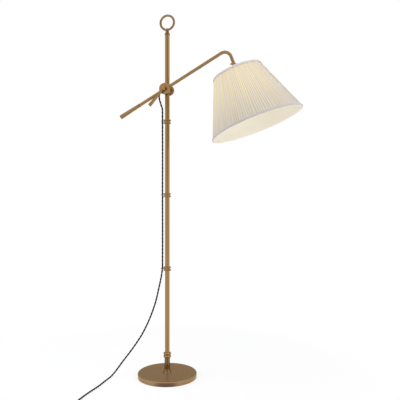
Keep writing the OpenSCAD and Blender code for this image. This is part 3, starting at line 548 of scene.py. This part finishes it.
def wall_faces(rows, columns, closed=True, start=0):
    """Faces of a thin wall: an outer grid, an inner grid behind it, and the strips between."""
    half, low = rows * columns, (rows - 1) * columns
    faces = grid_faces(rows, columns, closed, 0, turn=True)
    faces += grid_faces(rows, columns, closed, half)
    for k in range(columns if closed else columns - 1):
        nxt = (k + 1) % columns
        faces.append((k, nxt, half + nxt, half + k))
        faces.append((low + nxt, low + k, half + low + k, half + low + nxt))
    for i in range(0, 0 if closed else low, columns):
        for a, b in ((i + columns, i), (i + columns - 1, i + 2 * columns - 1)):
            faces.append((a, b, half + b, half + a))
    return [tuple(start + i for i in face) for face in faces]


def turned_profile(profiles, closed=True):
    """Points and faces round +Z, from an outline [(radius, height), ...] for each step round it."""
    points, faces, segments, count = [], [], len(profiles), len(profiles[0])
    for k, profile in enumerate(profiles):
        points += [(*polar(r, tau * k / segments), z) for r, z in profile]
        here, after = k * count, (k + 1) % segments * count
        for i in range(count if closed else count - 1):
            j = (i + 1) % count
            faces.append((here + i, after + i, after + j, here + j))
    return points, faces


def sharpen(obj, degrees, weld=False):
    """Keeps edges crisp where faces meet past that angle; weld first joins coinciding points."""
    bm = bmesh.new()
    bm.from_mesh(obj.data)
    if weld:
        bmesh.ops.remove_doubles(bm, verts=bm.verts, dist=0.001 * MM)
    bmesh.ops.recalc_face_normals(bm, faces=bm.faces)
    for edge in bm.edges:
        edge.smooth = len(edge.link_faces) != 2 or edge.calc_face_angle(0) < radians(degrees)
    bm.to_mesh(obj.data)
    bm.free()
    return obj


def set_uv(obj, places):
    """Gives each point of a mesh its (u, v)."""
    layer = obj.data.uv_layers.new(name="UVMap")
    for loop in obj.data.loops:
        layer.data[loop.index].uv = places[loop.vertex_index]


# ---------- camera ----------
def make_camera():
    look = sizes("lamp_camera")
    made = add("camera", bpy.data.cameras.new("camera"))
    made.data.lens, made.data.sensor_width = look.lens, 36.0
    made.data.shift_y = -look.drop
    made.data.dof.use_dof = False
    made.location = look.place
    made.rotation_euler = (pi / 2, 0, look.turn)
    bpy.context.scene.camera = made


# ---------- cord ----------
# The cord's free route in millimetres: from the tail to the upper eye. It is
# straight for the last 42 mm, so it runs cleanly through the eye when the clamp is slid down.
CORD_TOP = [
    (-28, -23.3, 1210.8), (-28, -23.3, 1206), (-27.8, -22.4, 1198.5), (-26.9, -18.8, 1189),
    (-25.5, -13.4, 1179), (-24, -7.7, 1169), (-22.7, -2.8, 1160.5), (-22.05, -0.3, 1154),
    (-22, 0, 1150), (-22, 0, 1130), (-22, 0, 1110.3),
]
# From the upper eye through the other eyes, down to the floor and along it to the coil
CORD_DROP = [
    (-22, 0, 1110), (-22, 0, 1080), (-21.6, 0, 940), (-22, 0, 783), (-21.6, 0, 620),
    (-22, 0, 500), (-22.6, 0, 466), (-26, 0, 440), (-32, 0, 410), (-40.5, 0, 374),
    (-51, 0, 330), (-64, -1, 289), (-79, -2, 250), (-96, -4, 212), (-115, -7, 175),
    (-137, -11, 140), (-157, -17, 110), (-178, -24, 81), (-197, -34, 54), (-212, -47, 30),
    (-221, -63, 14), (-226, -84, 5), (-227, -108, 3.5), (-226, -150, 3.5), (-225, -198, 3.5),
    (-227, -236, 3.5), (-229, -272, 3.5), (-230, -312, 3.5), (-229, -356, 3.6),
    (-228.2, -400, 4), (-228, -432, 4.2),
]
COIL_START = (-228, -432.3)
COIL_MIDDLE_Y = -440
COIL_INNER_R, COIL_PITCH, COIL_TURNS = 28, 7.1, 5
COIL_FLOOR_Z = 4.2
PLUG_Y = -468
CLAMP_BLEND_Z = 1170  # where the cord is cut between its piece at the tail and its piece down to the eye


def ease(t):
    """Smooth step from 0 to 1."""
    t = min(1.0, max(0.0, t))
    return t * t * (3 - 2 * t)


def curve_point(a, b, c, d, t):
    """Point at share t between b and c on the smooth curve through a, b, c and d."""
    long = (c - b).length
    m1 = (c - a) * (long / (long + (b - a).length + 0.001))
    m2 = (d - b) * (long / (long + (d - c).length + 0.001))
    return ((2 * t ** 3 - 3 * t ** 2 + 1) * b + (t ** 3 - 2 * t ** 2 + t) * m1
            + (3 * t ** 2 - 2 * t ** 3) * c + (t ** 3 - t ** 2) * m2)


def smooth_route(points, steps=12):
    """The smooth curve through hand-chosen points."""
    p = [Vector(x) for x in points]
    last = len(p) - 1
    route = [curve_point(p[max(i - 1, 0)], p[i], p[i + 1], p[min(i + 2, last)], k / steps)
             for i in range(last) for k in range(steps)]
    return route + [p[last]]


def coil_radius(turns):
    """Radius of the coil after that many turns: in to the middle of the winding and out again."""
    away, blend = abs(turns - COIL_TURNS / 2), 0.25
    return COIL_INNER_R + COIL_PITCH * (away if away > blend else (away ** 2 / blend + blend) / 2)


def coil_route(per_turn=48):
    """The coil's turns: in along the floor, up a layer, and out on top."""
    middle_x = COIL_START[0] + coil_radius(0)
    route = [Vector((*COIL_START, COIL_FLOOR_Z))]
    for k in range(per_turn * COIL_TURNS + 1):
        turns = k / per_turn
        x, y = polar(coil_radius(turns), pi + tau * turns)
        climb = ease((turns - COIL_TURNS / 2) * 2 + 0.5)
        route.append(Vector((middle_x + x, COIL_MIDDLE_Y + y, COIL_FLOOR_Z + COIL_PITCH * climb)))
    route.append(Vector((COIL_START[0], PLUG_Y, COIL_FLOOR_Z + COIL_PITCH)))
    return route


def evenly(route, step):
    """The route again, with points that lie step apart."""
    marks = [0.0, *accumulate((b - a).length for a, b in zip(route, route[1:]))]
    total = marks[-1]
    count = max(2, round(total / step))
    even, i = [], 0
    for k in range(count + 1):
        at = total * k / count
        while i < len(route) - 2 and marks[i + 1] < at:
            i += 1
        long = marks[i + 1] - marks[i]
        even.append(route[i].lerp(route[i + 1], (at - marks[i]) / long if long > 1e-9 else 0.0))
    return even


def carried_frames(route):
    """For each point of a route a pair of directions across it, carried along without twisting."""
    frames, side = [], Vector((1, 0, 0))
    for i in range(len(route)):
        ahead = (route[min(i + 1, len(route) - 1)] - route[max(i - 1, 0)]).normalized()
        side = (side - ahead * side.dot(ahead)).normalized()
        frames.append((side.copy(), ahead.cross(side)))
    return frames


def twisted_pair(name, route, frames, first, last, finish):
    """Two strands wound round the route between two of its points, pressed flat on each other."""
    look = sizes("lamp_cord")
    thick_r, wide_r = look.diameter * 0.25, look.diameter * 0.36
    sides, points, faces, places = look.sides, [], [], []
    spacing = (route[1] - route[0]).length
    for strand in (0, 1):
        start = len(points)
        for i in range(first, last + 1):
            twist = tau * spacing * i / look.lay + pi * strand
            a, b = frames[i]
            out = a * cos(twist) + b * sin(twist)
            round_it = b * cos(twist) - a * sin(twist)
            centre = route[i] + out * thick_r
            for k in range(sides):
                turn = tau * k / sides
                points.append(centre + out * (cos(turn) * thick_r)
                              + round_it * (sin(turn) * wide_r))
                places.append((spacing * i, k / sides))
        faces += grid_faces(last - first + 1, sides, True, start)
        faces.append([start + k for k in range(sides)])
        faces.append([len(points) - 1 - k for k in range(sides)])
    made = piece(name, points, faces, finish, "cord")
    made.visible_glossy = False  # the satin pole beside it shows no image of it
    set_uv(made, places)
    return sharpen(made, 70)


def make_cord():
    look, finish = sizes("lamp_cord"), braid()
    into_bushing = Vector((*CORD_TOP[0][:2], CORD_TOP[0][2] + 2))
    whole = [into_bushing] + smooth_route(CORD_TOP) + smooth_route(CORD_DROP)[1:] + coil_route()
    route = evenly([p * MM for p in whole], look.step)
    frames = carried_frames(route)
    split = next(i for i, p in enumerate(route) if p.z < CLAMP_BLEND_Z * MM)
    eye = next(i for i, p in enumerate(route) if p.z < CORD_DROP[0][2] * MM)
    last = len(route) - 1

    upper = twisted_pair("cord_at_tail", route, frames, 0, split, finish)
    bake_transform(upper)
    middle_part = twisted_pair("cord_to_eye", route, frames, split, eye, finish)
    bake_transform(middle_part)
    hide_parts("cord_top")

    lower = twisted_pair("cord_to_plug", route, frames, eye, last, finish)
    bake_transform(lower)
    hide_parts("cord_drop", "cord_coil")
    plug = make_plug()
    tie = make_tie()
    wear(plastic("bushing_finish", (0.015, 0.015, 0.016)), "cord_bushing")
    wear(plastic("lead_finish", (0.02, 0.02, 0.022)), "inner_lead")


def rounded_box_ring(half_w, half_h, power, count):
    """Points round a box with soft corners: the higher the power, the squarer."""
    soft = 2 / power
    return [(half_w * copysign(abs(c) ** soft, c), half_h * copysign(abs(s) ** soft, s))
            for c, s in (polar(1.0, tau * k / count) for k in range(count))]


def make_plug():
    """Moulded plug: ribbed strain relief, waist, and a squared grip with a rim at its face."""
    low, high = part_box("plug_body")
    centre, long = (low + high) / 2, high.y - low.y
    half_w, half_h = (high.x - low.x) / 2, (high.z - low.z) / 2 - 0.2 * MM
    cord_r, relief, steps, count = sizes("lamp_cord").diameter / 2, 0.47, 24, 40
    sections = []  # (share along the plug, half width, half height, squareness)
    for k in range(steps + 1):
        share = k / steps
        groove = 0.5 * MM if k % 4 in (1, 2) else 0.0
        r = cord_r + (1.0 + 2.6 * share) * MM - groove
        sections.append((relief * share, r, r, 2.0))
    sections += [(share, half_w * w, half_h * h, power) for share, w, h, power in (
        (0.50, 0.62, 0.66, 2.4), (0.56, 0.80, 0.80, 3.0), (0.62, 0.90, 0.88, 3.6),
        (0.70, 0.84, 0.84, 4.0), (0.80, 0.84, 0.84, 4.4), (0.86, 0.95, 0.95, 5.0),
        (0.89, 1.0, 1.0, 5.5), (0.975, 1.0, 1.0, 5.5))]
    sections.append((1.0, half_w - 0.8 * MM, half_h - 0.8 * MM, 5.5))
    points = [(centre.x + a, high.y - long * share, centre.z + b)
              for share, w, h, power in sections for a, b in rounded_box_ring(w, h, power, count)]
    faces = grid_faces(len(sections), count, True)
    faces += [list(range(count))[::-1], list(range(len(points) - count, len(points)))]
    made = piece("moulded_plug", points, faces, plastic("plug_finish", (0.016, 0.017, 0.02)),
                 "black_plastic")
    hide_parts("plug_body")
    sharpen(made, 50)
    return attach(made, "stand")


def make_tie():
    """Hook-and-loop strap round the coil's winding, with its free end lapped on top."""
    low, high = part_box("coil_tie")
    thick, corner = 0.7 * MM, 3.0 * MM
    half_w, half_h = (high.x - low.x) / 2, (high.z - low.z) / 2
    band = []
    for sx, sz, first in ((1, 1, 0), (-1, 1, 90), (-1, -1, 180), (1, -1, 270)):
        for k in range(7):
            x, z = polar(corner, radians(first + 90 * k / 6))
            band.append(Vector((sx * (half_w - corner) + x, 0, sz * (half_h - corner) + z)))
    lap = [Vector((0.6 * half_w * (1 - k / 5) - 0.15 * half_w, 0,
                   half_h + thick * 0.9 * min(1, k))) for k in range(6)]
    # share of the width, and how much thinner the strap is there on each side
    across_it = ((-0.5, 0.15 * MM), (-0.42, 0.0), (0.42, 0.0), (0.5, 0.15 * MM))
    points, faces = [], []
    for line, closed in ((band, True), (lap, False)):
        start = len(points)
        for side, (share, soft) in product((0, 1), across_it):
            for p in line:
                outward = p.normalized() if closed else UP
                points.append((low + high) / 2 + p + Vector((0, (high.y - low.y) * share, 0))
                              - outward * (thick - soft if side else soft))
        faces += wall_faces(len(across_it), len(line), closed, start)
    finish = pile("strap_finish", (1600.0, 4.0, 0.7), (0.014, 0.014, 0.015), (0.05, 0.05, 0.052),
                  0.9, 0.5, 0.7, 0.3 * MM)
    made = piece("coil_strap", points, faces, finish, "black_plastic")
    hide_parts("coil_tie")
    sharpen(made, 40)
    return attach(made, "stand")


# ---------- shade ----------
def cone_radius(depth):
    """Radius of the shade's outer cone at a depth below its top plane."""
    (top_depth, top_r), (low_depth, low_r) = TOP_RIM, BOTTOM_RIM
    return top_r + (low_r - top_r) * (depth - top_depth) / (low_depth - top_depth)


SHADE_H = BOTTOM_RIM[0] - TOP_RIM[0]
RIBBON_OUT = 0.8 * MM  # the ribbon's thickness: the cloth lies this much inside the outer cone
PLEAT_FULLNESS = 1.45  # flat width of the pleated cloth for each width of the bottom rim
# A knife pleat's visible face, from its crest in under the next pleat: share of the pitch, share of
# the fold's depth inward from the crest, and how far the cloth there is a single layer
PLEAT_FACE = (
    (0.0, 0.0, 0.0), (0.10, 0.0, 0.0), (0.26, 0.04, 0.0), (0.36, 0.12, 0.9), (0.52, 0.30, 1.0),
    (0.74, 0.58, 1.0), (0.90, 0.86, 0.6), (1.03, 1.0, 0.0), (1.15, 1.0, 0.0),
)
# From there the cloth folds back out to the next crest: share of the pitch, millimetres along the
# pitch, and depth in thicknesses of the cloth
PLEAT_RETURN = (
    (1.15, 0.15, 2.55), (1.15, 0.0, 2.2), (1.03, 0.0, 2.2), (1.0, -0.08, 2.1), (1.0, -0.22, 1.1),
    (1.0, -0.14, 0.3),
)


def shade_piece(name, points, *rest):
    """A piece whose points are given about the shade's own axis."""
    return piece(name, [SHADE_TO_ROOM @ Vector(p) for p in points], *rest)


def mark(obj, name, values):
    """Gives each point of a mesh a number that its finish reads."""
    obj.data.attributes.new(name, "FLOAT", "POINT").data.foreach_set("value", values)


def draw_pleats(count):
    """Every pleat's start, width and lean in radians, its depth, and how much light it lets by."""
    draw = random.Random(11)
    waves = [(times, draw.uniform(0, tau), draw.uniform(0.1, 0.22))
             for times in (3, 7, 13, 24)]
    pleats = [{"wide": draw.uniform(0.84, 1.16), "deep": draw.uniform(0.9, 1.3),
               "thin": draw.uniform(0.36, 1.0),
               "lean": sum(size * sin(tau * times * k / count + phase)
                           for times, phase, size in waves)} for k in range(count)]
    total, at = sum(p["wide"] for p in pleats), 0.0
    for p in pleats:
        p["start"], p["width"] = at / total * tau, p["wide"] / total * tau
        p["lean"] *= p["width"]
        at += p["wide"]
    return pleats


def pleat_line(pleats, number, radius, fold, cloth, lean_share):
    """One pleat's cloth at one height: each point's angle, depth, layer and share of the fold."""
    p, after = pleats[number], pleats[(number + 1) % len(pleats)]
    line = [(share, 0.0, fold * p["deep"] * inward, layer * p["thin"], inward)
            for share, inward, layer in PLEAT_FACE]
    line += [(share, along * MM, cloth * deep, 0.0, 1.0 if share > 1.0 else 0.0)
             for share, along, deep in PLEAT_RETURN]
    for share, along, depth, layer, inward in line:
        lean = p["lean"] + (after["lean"] - p["lean"]) * min(1.0, share)
        angle = p["start"] + p["width"] * share + along / radius + lean * lean_share
        yield angle, depth, layer, inward


def make_pleats():
    """Knife pleats of thin cloth, pressed flat under the ribbons."""
    look = sizes("lamp_shade")
    pleats = draw_pleats(look.pleats)
    rows, press, inset, under = 14, 9 * MM, 0.5 * MM, 0.25 * MM
    outer, inner, single, tucked = [], [], [], []
    for row in range(rows):
        share = row / (rows - 1)
        depth = inset + (SHADE_H - 2 * inset) * share
        flat = 0.8 + 0.2 * ease(min(depth, SHADE_H - depth) / press)
        radius = cone_radius(depth) - RIBBON_OUT - under
        ring = [made for number in range(look.pleats) for made in
                pleat_line(pleats, number, radius, look.fold * flat, look.cloth, share - 0.5)]
        flat_ring = [polar(radius - deep, angle) for angle, deep, _, _ in ring]
        for k, (x, y) in enumerate(flat_ring):
            before, after = flat_ring[k - 1], flat_ring[(k + 1) % len(flat_ring)]
            run = Vector((after[0] - before[0], after[1] - before[1])).normalized()
            outer.append((x, y, -depth))
            inner.append((x - run.y * look.cloth, y + run.x * look.cloth, -depth))
            single.append(ring[k][2])
            tucked.append(ring[k][3])
    made = shade_piece("pleated_cloth", outer + inner, wall_faces(rows, len(outer) // rows),
                       pleated_cloth(), "cream_cloth")
    mark(made, "single_layer", single * 2)
    mark(made, "tucked_in", tucked * 2)
    sharpen(made, 55)
    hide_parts("pleated_cover")
    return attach(made, "arm")


def make_ribbon(name, node, at_top):
    """Ribbon folded over a rim: down the outside, round the edge, and up the inside."""
    width, thick, inside_leg = sizes("lamp_shade").ribbon, 0.55 * MM, 1.6 * MM
    wall = 8.1 * MM  # from the outer cone to the lining's inner face
    roll, proud, count, segments = 1.2 * MM, 0.4 * MM, 5, 240
    end, sign = (0.0, 1) if at_top else (SHADE_H, -1)
    quarter = [pi / 2 * k / count for k in range(count + 1)]
    # (distance from the rim along the shade, distance inward from the outer cone)
    line = [(width, 0.15 * MM), (width * 0.5, 0.0)]
    line += [(roll - roll * sin(a) - proud, roll - roll * cos(a)) for a in quarter]
    line += [(roll - roll * cos(a) - proud, wall - roll + roll * sin(a))
             for a in quarter]
    line += [(inside_leg * 0.6, wall), (inside_leg, wall - 0.1 * MM)]
    back = []
    for i, (d, w) in enumerate(line):
        before, after = Vector(line[max(i - 1, 0)]), Vector(line[min(i + 1, len(line) - 1)])
        run = (after - before).normalized()
        back.append((d - run.y * thick, w + run.x * thick))
    outline = [(cone_radius(end + sign * d) - w, -(end + sign * d)) for d, w in line + back[::-1]]
    points, faces = turned_profile([outline] * segments)
    # Painted light: the top ribbon is 1.16 times lighter, for the light falling on it from above.
    made = shade_piece(name, points, faces, ribbon(name, 1.16 if at_top else 1.0), "ribbon")
    girth, per_ring = cone_radius(end) * tau, len(outline)
    set_uv(made, [(girth * (i // per_ring) / segments, (i % per_ring) / per_ring)
                  for i in range(len(points))])
    turned_in = [0.0 if i < 3 + count else 1.0 for i in range(len(line))]
    mark(made, "inner_side", (turned_in + turned_in[::-1]) * segments)
    sharpen(made, 60)
    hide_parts(node)
    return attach(made, "arm")


def make_lining():
    """Stiff lining, lapped over itself at a glued seam on the side towards the pole."""
    inward, thick, lap_width, lap_rise = 6.95 * MM, 0.5 * MM, 12 * MM, 0.35 * MM
    segments, rows, top, foot = 180, 7, 2.9 * MM, 1 * MM
    points = []
    for side, row, k in product((0, 1), range(rows), range(segments)):
        depth = top + (SHADE_H - top - foot) * row / (rows - 1)
        angle, r = tau * k / segments, cone_radius(depth) - inward - side * thick
        if side and abs(angle - pi) * r < lap_width / 2:
            r -= lap_rise
        points.append((*polar(r, angle), -depth))
    made = shade_piece("smooth_lining", points, wall_faces(rows, segments), lining(), "lining")
    sharpen(made, 40)
    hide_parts("shade_lining")
    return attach(made, "arm")


def make_shade():
    cloth = make_pleats()
    ribbons = [make_ribbon("ribbon_top", "top_trim", True),
               make_ribbon("ribbon_bottom", "bottom_trim", False)]
    inner = make_lining()
    for made, fullness, held in ((cloth, PLEAT_FULLNESS, "gathered"), (inner, 1.0, "stretched")):
        wide, faces = BOTTOM_RIM[1] * tau * fullness, made.data.polygons
        sum(face.area for face in faces) / 2


# ---------- metal, plastic and glass ----------
def make_brass():
    """Brass: turned about the pole, the pivot, the tail or the shade, or drawn along a tube."""
    metal, floor = sizes("lamp_metal"), Vector((0, 0, 0))
    aged, deep, brown = toned(metal.brass, 0.72), toned(metal.brass, 0.86), (0.26, 0.155, 0.07)
    # Painted shade: the plate darkens, greyer, up to 14 mm round the stem's foot.
    brass("base_brass", ["base_cover"], floor, UP, base=(0.41, 0.25, 0.133),
          patina_and_shade=(0.15, 0.11, 0.07), patina_and_shade_reach=14 * MM, grain="Z", Anisotropic=0.45)
    brass("pole_brass", ["lower_tube", "second_tube", "third_tube", "top_tube"], floor, UP,
          turned=False)
    brass("turned_brass", ["stem_collar", "lower_collar", "middle_collar", "upper_collar"],
          floor, UP, edge=brown)
    # Painted shade: the stem darkens up to 14 mm from the plate and the collar.
    brass("stem_brass", ["base_stem"], floor, UP, base=toned(aged, 0.9),
          patina_and_shade=(0.13, 0.09, 0.055), edge=brown, patina_and_shade_reach=14 * MM)
    for node in ("base_stem", "stem_collar", "lower_tube"):
        frame["nodes"][node].visible_glossy = False  # the satin plate shows no image of the stem
    brass("neck_brass", ["finial_neck"], floor, UP, base=aged, edge=brown)
    brass("ring_brass", ["finial_ring"], middle("finial_ring"), FRONT, edge=brown,
          patches=(75.0, 0.75))
    brass("clamp_brass", ["arm_hub", "lever_nut"], PIVOT, FRONT)
    brass("front_disc_brass", ["front_disc"], PIVOT, FRONT, grain="Y", Anisotropic=0.6)
    # Painted light: a lighter, half-metallic brass, so the rear disc looks lit in the hub's shade.
    brass("rear_disc_brass", ["rear_disc"], PIVOT, FRONT, base=(0.56, 0.38, 0.20), patina_and_shade_reach=1 * MM,
          grain="Y", Anisotropic=0.6, Metallic=0.5)
    brass("barrel_brass", ["pole_clamp"], floor, UP)
    brass("arm_brass", ["arm_tube"], PIVOT, ARM_ALONG, turned=False, base=deep, edge=brown)
    brass("tail_brass", ["tail_tube"], PIVOT, ARM_ALONG, turned=False, base=deep, edge=brown)
    brass("handle_brass", ["tail_ferrule", "tail_handle"], PIVOT, ARM_ALONG, base=deep,
          edge=brown)
    brass("lever_brass", ["lever_handle"], LEVER_PIVOT, LEVER_ALONG, base=deep, edge=brown)
    brass("cap_brass", ["socket_cap", "socket_shell", "shade_fitter", "shade_bottom_wire"],
          SHADE_TOP, SHADE_DOWN)
    brass("key_brass", ["switch_key"], KEY_PLACE, KEY_OUT)
    eyes = [(node, middle(node), UP) for node in
            ("lower_cord_eye", "middle_cord_eye", "upper_cord_eye")]
    for node, origin, direction in (*eyes, ("rear_screw", PIVOT, FRONT)):
        brass(node + "_brass", [node], origin, direction, base=tuple(metal.dark),
              patina_and_shade=toned(metal.dark, 0.5))


def make_fittings():
    """Inner metal, plastic bushes and the weight."""
    plated = steel("plated_steel_finish", tuple(sizes("lamp_metal").steel), 0.34)
    wear(plated, "base_washer", "base_nut", "lamp_pipe", "pole_plug", "tube_couplers",
         "pivot_bolt", "tube_nipple")
    wear(steel("nickel_finish", (0.66, 0.60, 0.50), 0.22), "bulb_base", "plug_blades")
    wear(cast_iron(), "base_weight")
    wear(plastic("bush_finish", (0.018, 0.018, 0.019)), "slide_bush", "friction_washer",
         "ring_nut")
    wear(plastic("socket_core_finish", (0.02, 0.018, 0.017), 0.35), "socket_core")


def make_felt():
    """Felt disc under the base, its cut edge slightly ragged."""
    low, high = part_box("felt_pad")
    draw, radius, soft = random.Random(5), (high.x - low.x) / 2, 0.5 * MM
    profiles = []
    for _ in range(220):
        cut = 1.0 - draw.uniform(0, 0.004)
        profiles.append([(radius * share, z) for share, z in (
            (0.0, low.z), (0.97, low.z), (cut, low.z + soft), (cut, high.z - soft),
            (0.985 * cut, high.z), (0.0, high.z))])
    points, faces = turned_profile(profiles, closed=False)
    finish = pile("felt_finish", (1300.0, 5.0, 0.75), (0.012, 0.012, 0.012),
                  (0.045, 0.044, 0.042), 0.95, 0.6, 0.8, 0.4 * MM)
    made = piece("felt_disc", points, faces, finish, "felt")
    sharpen(made, 50, weld=True)
    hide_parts("felt_pad")
    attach(made, "stand")


# ---------- studio ----------
OPEN_SIDE = (0.30, -0.95, 0.0)  # the side that the lamp is looked at from, darker in the brass


def area_light(name, place, aim, size, power):
    made = add(name, bpy.data.lights.new(name, "AREA"))
    data = made.data
    data.shape, data.size, data.size_y, data.energy = "RECTANGLE", *size, power
    made.location = place
    made.rotation_euler = (Vector(aim) - Vector(place)).to_track_quat("-Z", "Y").to_euler()
    made.visible_glossy = False  # the brass mirrors only the room, so it has no hard spots


def make_world():
    """White all round to the camera; to metal, white behind the lamp, darker on the open side."""
    world = bpy.data.worlds.new("studio")
    world.use_nodes = True
    bpy.context.scene.world = world
    world.node_tree.nodes.clear()
    w = Nodes(world.node_tree)
    towards_sky = w.coordinates["Generated"]
    facing = w.vector("DOT_PRODUCT", towards_sky, OPEN_SIDE, "Value")
    round_it = w.node("ValToRGB", {0: w.ramp(facing, -1.0, 1.0)})
    steps = round_it.color_ramp.elements
    for step, grey in zip(steps, (0.58, 0.40)):
        step.color = (grey, grey, grey, 1)
    for position, grey in ((0.2, 0.95), (0.5, 1.3), (0.78, 1.38), (0.89, 1.15), (0.96, 0.58)):
        steps.new(position).color = (grey, grey, grey, 1)
    overhead = w.ramp(w.split(towards_sky)[2], 0.35, 0.8, 1.0, 1.2)
    strength = w.math("MULTIPLY", round_it.outputs[0], overhead)
    mirrored = w.node("Background", {"Strength": strength})
    fill = w.node("Background", {"Color": (0.97, 0.985, 1.0, 1), "Strength": 0.62})
    seen = w.node("Background", {"Color": (1, 1, 1, 1), "Strength": 1.0})
    ray = w.node("LightPath").outputs
    glossy = w.math("MAXIMUM", ray["Is Glossy Ray"], ray["Is Transmission Ray"])
    room = w.blend(ray["Is Camera Ray"], w.blend(glossy, fill, mirrored), seen)
    w.node("OutputWorld", {0: room})


def make_floor():
    """Pale floor that keeps a soft shadow near the lamp and fades to white further off."""
    side, least_white = 40.0, 0.78
    mesh = bpy.data.meshes.new("floor")
    corners = [(-side, -side, 0), (side, -side, 0), (side, side, 0), (-side, side, 0)]
    mesh.from_pydata(corners, [], [(0, 1, 2, 3)])
    floor = add("floor", mesh)
    floor.location.z = -0.2 * MM
    f = Finish("floor_finish")
    mesh.materials.append(f.material)
    grain = f.noise(f.place, 40.0)
    f.set(Base_Color=f.mix(grain, (0.90, 0.90, 0.90), (0.92, 0.92, 0.92)), Roughness=0.9,
          Specular_IOR_Level=0.1)
    ray = f.node("LightPath").outputs
    away = f.vector("LENGTH", f.place, output="Value")
    whiter = f.math("MAXIMUM", f.ramp(away, 0.35, 1.0, smooth=True), least_white)
    white = f.node("Emission", {"Strength": 1.0})
    pale = f.blend(f.math("MULTIPLY", whiter, ray["Is Camera Ray"]), f.shader, white)
    ahead = f.vector("DOT_PRODUCT", f.vector("NORMALIZE", f.place), OPEN_SIDE, "Value")
    darker = f.ramp(ahead, 0.86, 0.995, 1.0, 0.4, smooth=True)
    strength = f.ramp(away, 0.2, 0.7, darker, 1.0, smooth=True)
    mirrored = f.node("Emission", {"Strength": strength})
    f.put(f.tree.nodes["Material Output"].inputs["Surface"],
          f.blend(ray["Is Glossy Ray"], pale, mirrored))


def make_stage():
    scene = bpy.context.scene
    scene.view_settings.view_transform = "Standard"
    make_world()
    make_floor()
    area_light("top_softbox", (0.3, -0.6, 3.6), (0, 0, 0.6), (2.2, 2.2), 40)
    area_light("left_softbox", (-2.6, -1.2, 1.9), (0, 0, 0.9), (1.2, 2.4), 34)
    area_light("right_softbox", (2.8, -0.9, 1.8), (0, 0, 0.9), (1.2, 2.4), 25)


# ---------- operators ----------
class LAMP_OT_camera(bpy.types.Operator):
    """Stand the camera where the photograph was taken"""
    bl_idname = "lamp.camera"
    bl_label = "Camera"
    bl_options = {"REGISTER", "UNDO"}

    def execute(self, context):
        make_camera()
        return {"FINISHED"}


class LAMP_OT_cord(bpy.types.Operator):
    """Make the twisted cord, its plug, and the strap round its coil"""
    bl_idname = "lamp.cord"
    bl_label = "Twisted Cord"
    bl_options = {"REGISTER", "UNDO"}

    def execute(self, context):
        make_cord()
        return {"FINISHED"}


class LAMP_OT_shade(bpy.types.Operator):
    """Make the pleated cloth, its ribbons and the lining"""
    bl_idname = "lamp.shade"
    bl_label = "Pleated Shade"
    bl_options = {"REGISTER", "UNDO"}

    def execute(self, context):
        make_shade()
        return {"FINISHED"}


class LAMP_OT_brass(bpy.types.Operator):
    """Brush and age the brass pieces"""
    bl_idname = "lamp.brass"
    bl_label = "Brass"
    bl_options = {"REGISTER", "UNDO"}

    def execute(self, context):
        make_brass()
        return {"FINISHED"}


class LAMP_OT_fittings(bpy.types.Operator):
    """Finish the steel, iron and plastic pieces"""
    bl_idname = "lamp.fittings"
    bl_label = "Fittings"
    bl_options = {"REGISTER", "UNDO"}

    def execute(self, context):
        make_fittings()
        return {"FINISHED"}


class LAMP_OT_felt(bpy.types.Operator):
    """Make the felt disc under the base"""
    bl_idname = "lamp.felt"
    bl_label = "Felt"
    bl_options = {"REGISTER", "UNDO"}

    def execute(self, context):
        make_felt()
        return {"FINISHED"}


class LAMP_OT_bulb(bpy.types.Operator):
    """Frost and light the bulb"""
    bl_idname = "lamp.bulb"
    bl_label = "Bulb"
    bl_options = {"REGISTER", "UNDO"}

    def execute(self, context):
        wear(lit_glass(), "bulb_glass")
        return {"FINISHED"}


class LAMP_OT_stage(bpy.types.Operator):
    """Make the floor, the lamps and the backdrop"""
    bl_idname = "lamp.stage"
    bl_label = "Studio"
    bl_options = {"REGISTER", "UNDO"}

    def execute(self, context):
        make_stage()
        return {"FINISHED"}


OPERATORS = (LAMP_OT_camera, LAMP_OT_cord, LAMP_OT_shade, LAMP_OT_brass, LAMP_OT_fittings,
             LAMP_OT_felt, LAMP_OT_bulb, LAMP_OT_stage)


class LAMP_PT_panel(bpy.types.Panel):
    """The lamp's sizes, colours and steps"""
    bl_idname = "LAMP_PT_panel"
    bl_label = "Bridge Floor Lamp"
    bl_space_type = "VIEW_3D"
    bl_region_type = "UI"
    bl_category = "Floor Lamp"

    def draw(self, context):
        for group, kind in GROUPS.items():
            box = self.layout.box()
            box.label(text=kind.__doc__)
            for name in kind.__annotations__:
                box.prop(getattr(context.scene, group), name)
        for step in OPERATORS:
            self.layout.operator(step.bl_idname)


CLASSES = (*GROUPS.values(), *OPERATORS, LAMP_PT_panel)


def register():
    for kind in CLASSES:
        bpy.utils.register_class(kind)
    for name, kind in GROUPS.items():
        setattr(bpy.types.Scene, name, PointerProperty(type=kind))


def unregister():
    for name in GROUPS:
        delattr(bpy.types.Scene, name)
    for kind in reversed(CLASSES):
        bpy.utils.unregister_class(kind)


def main():
    register()
    bpy.ops.lamp.camera()
    bpy.ops.lamp.cord()
    bpy.ops.lamp.shade()
    bpy.ops.lamp.brass()
    bpy.ops.lamp.fittings()
    bpy.ops.lamp.felt()
    bpy.ops.lamp.bulb()
    bpy.ops.lamp.stage()


if __name__ == "__main__":
    main()
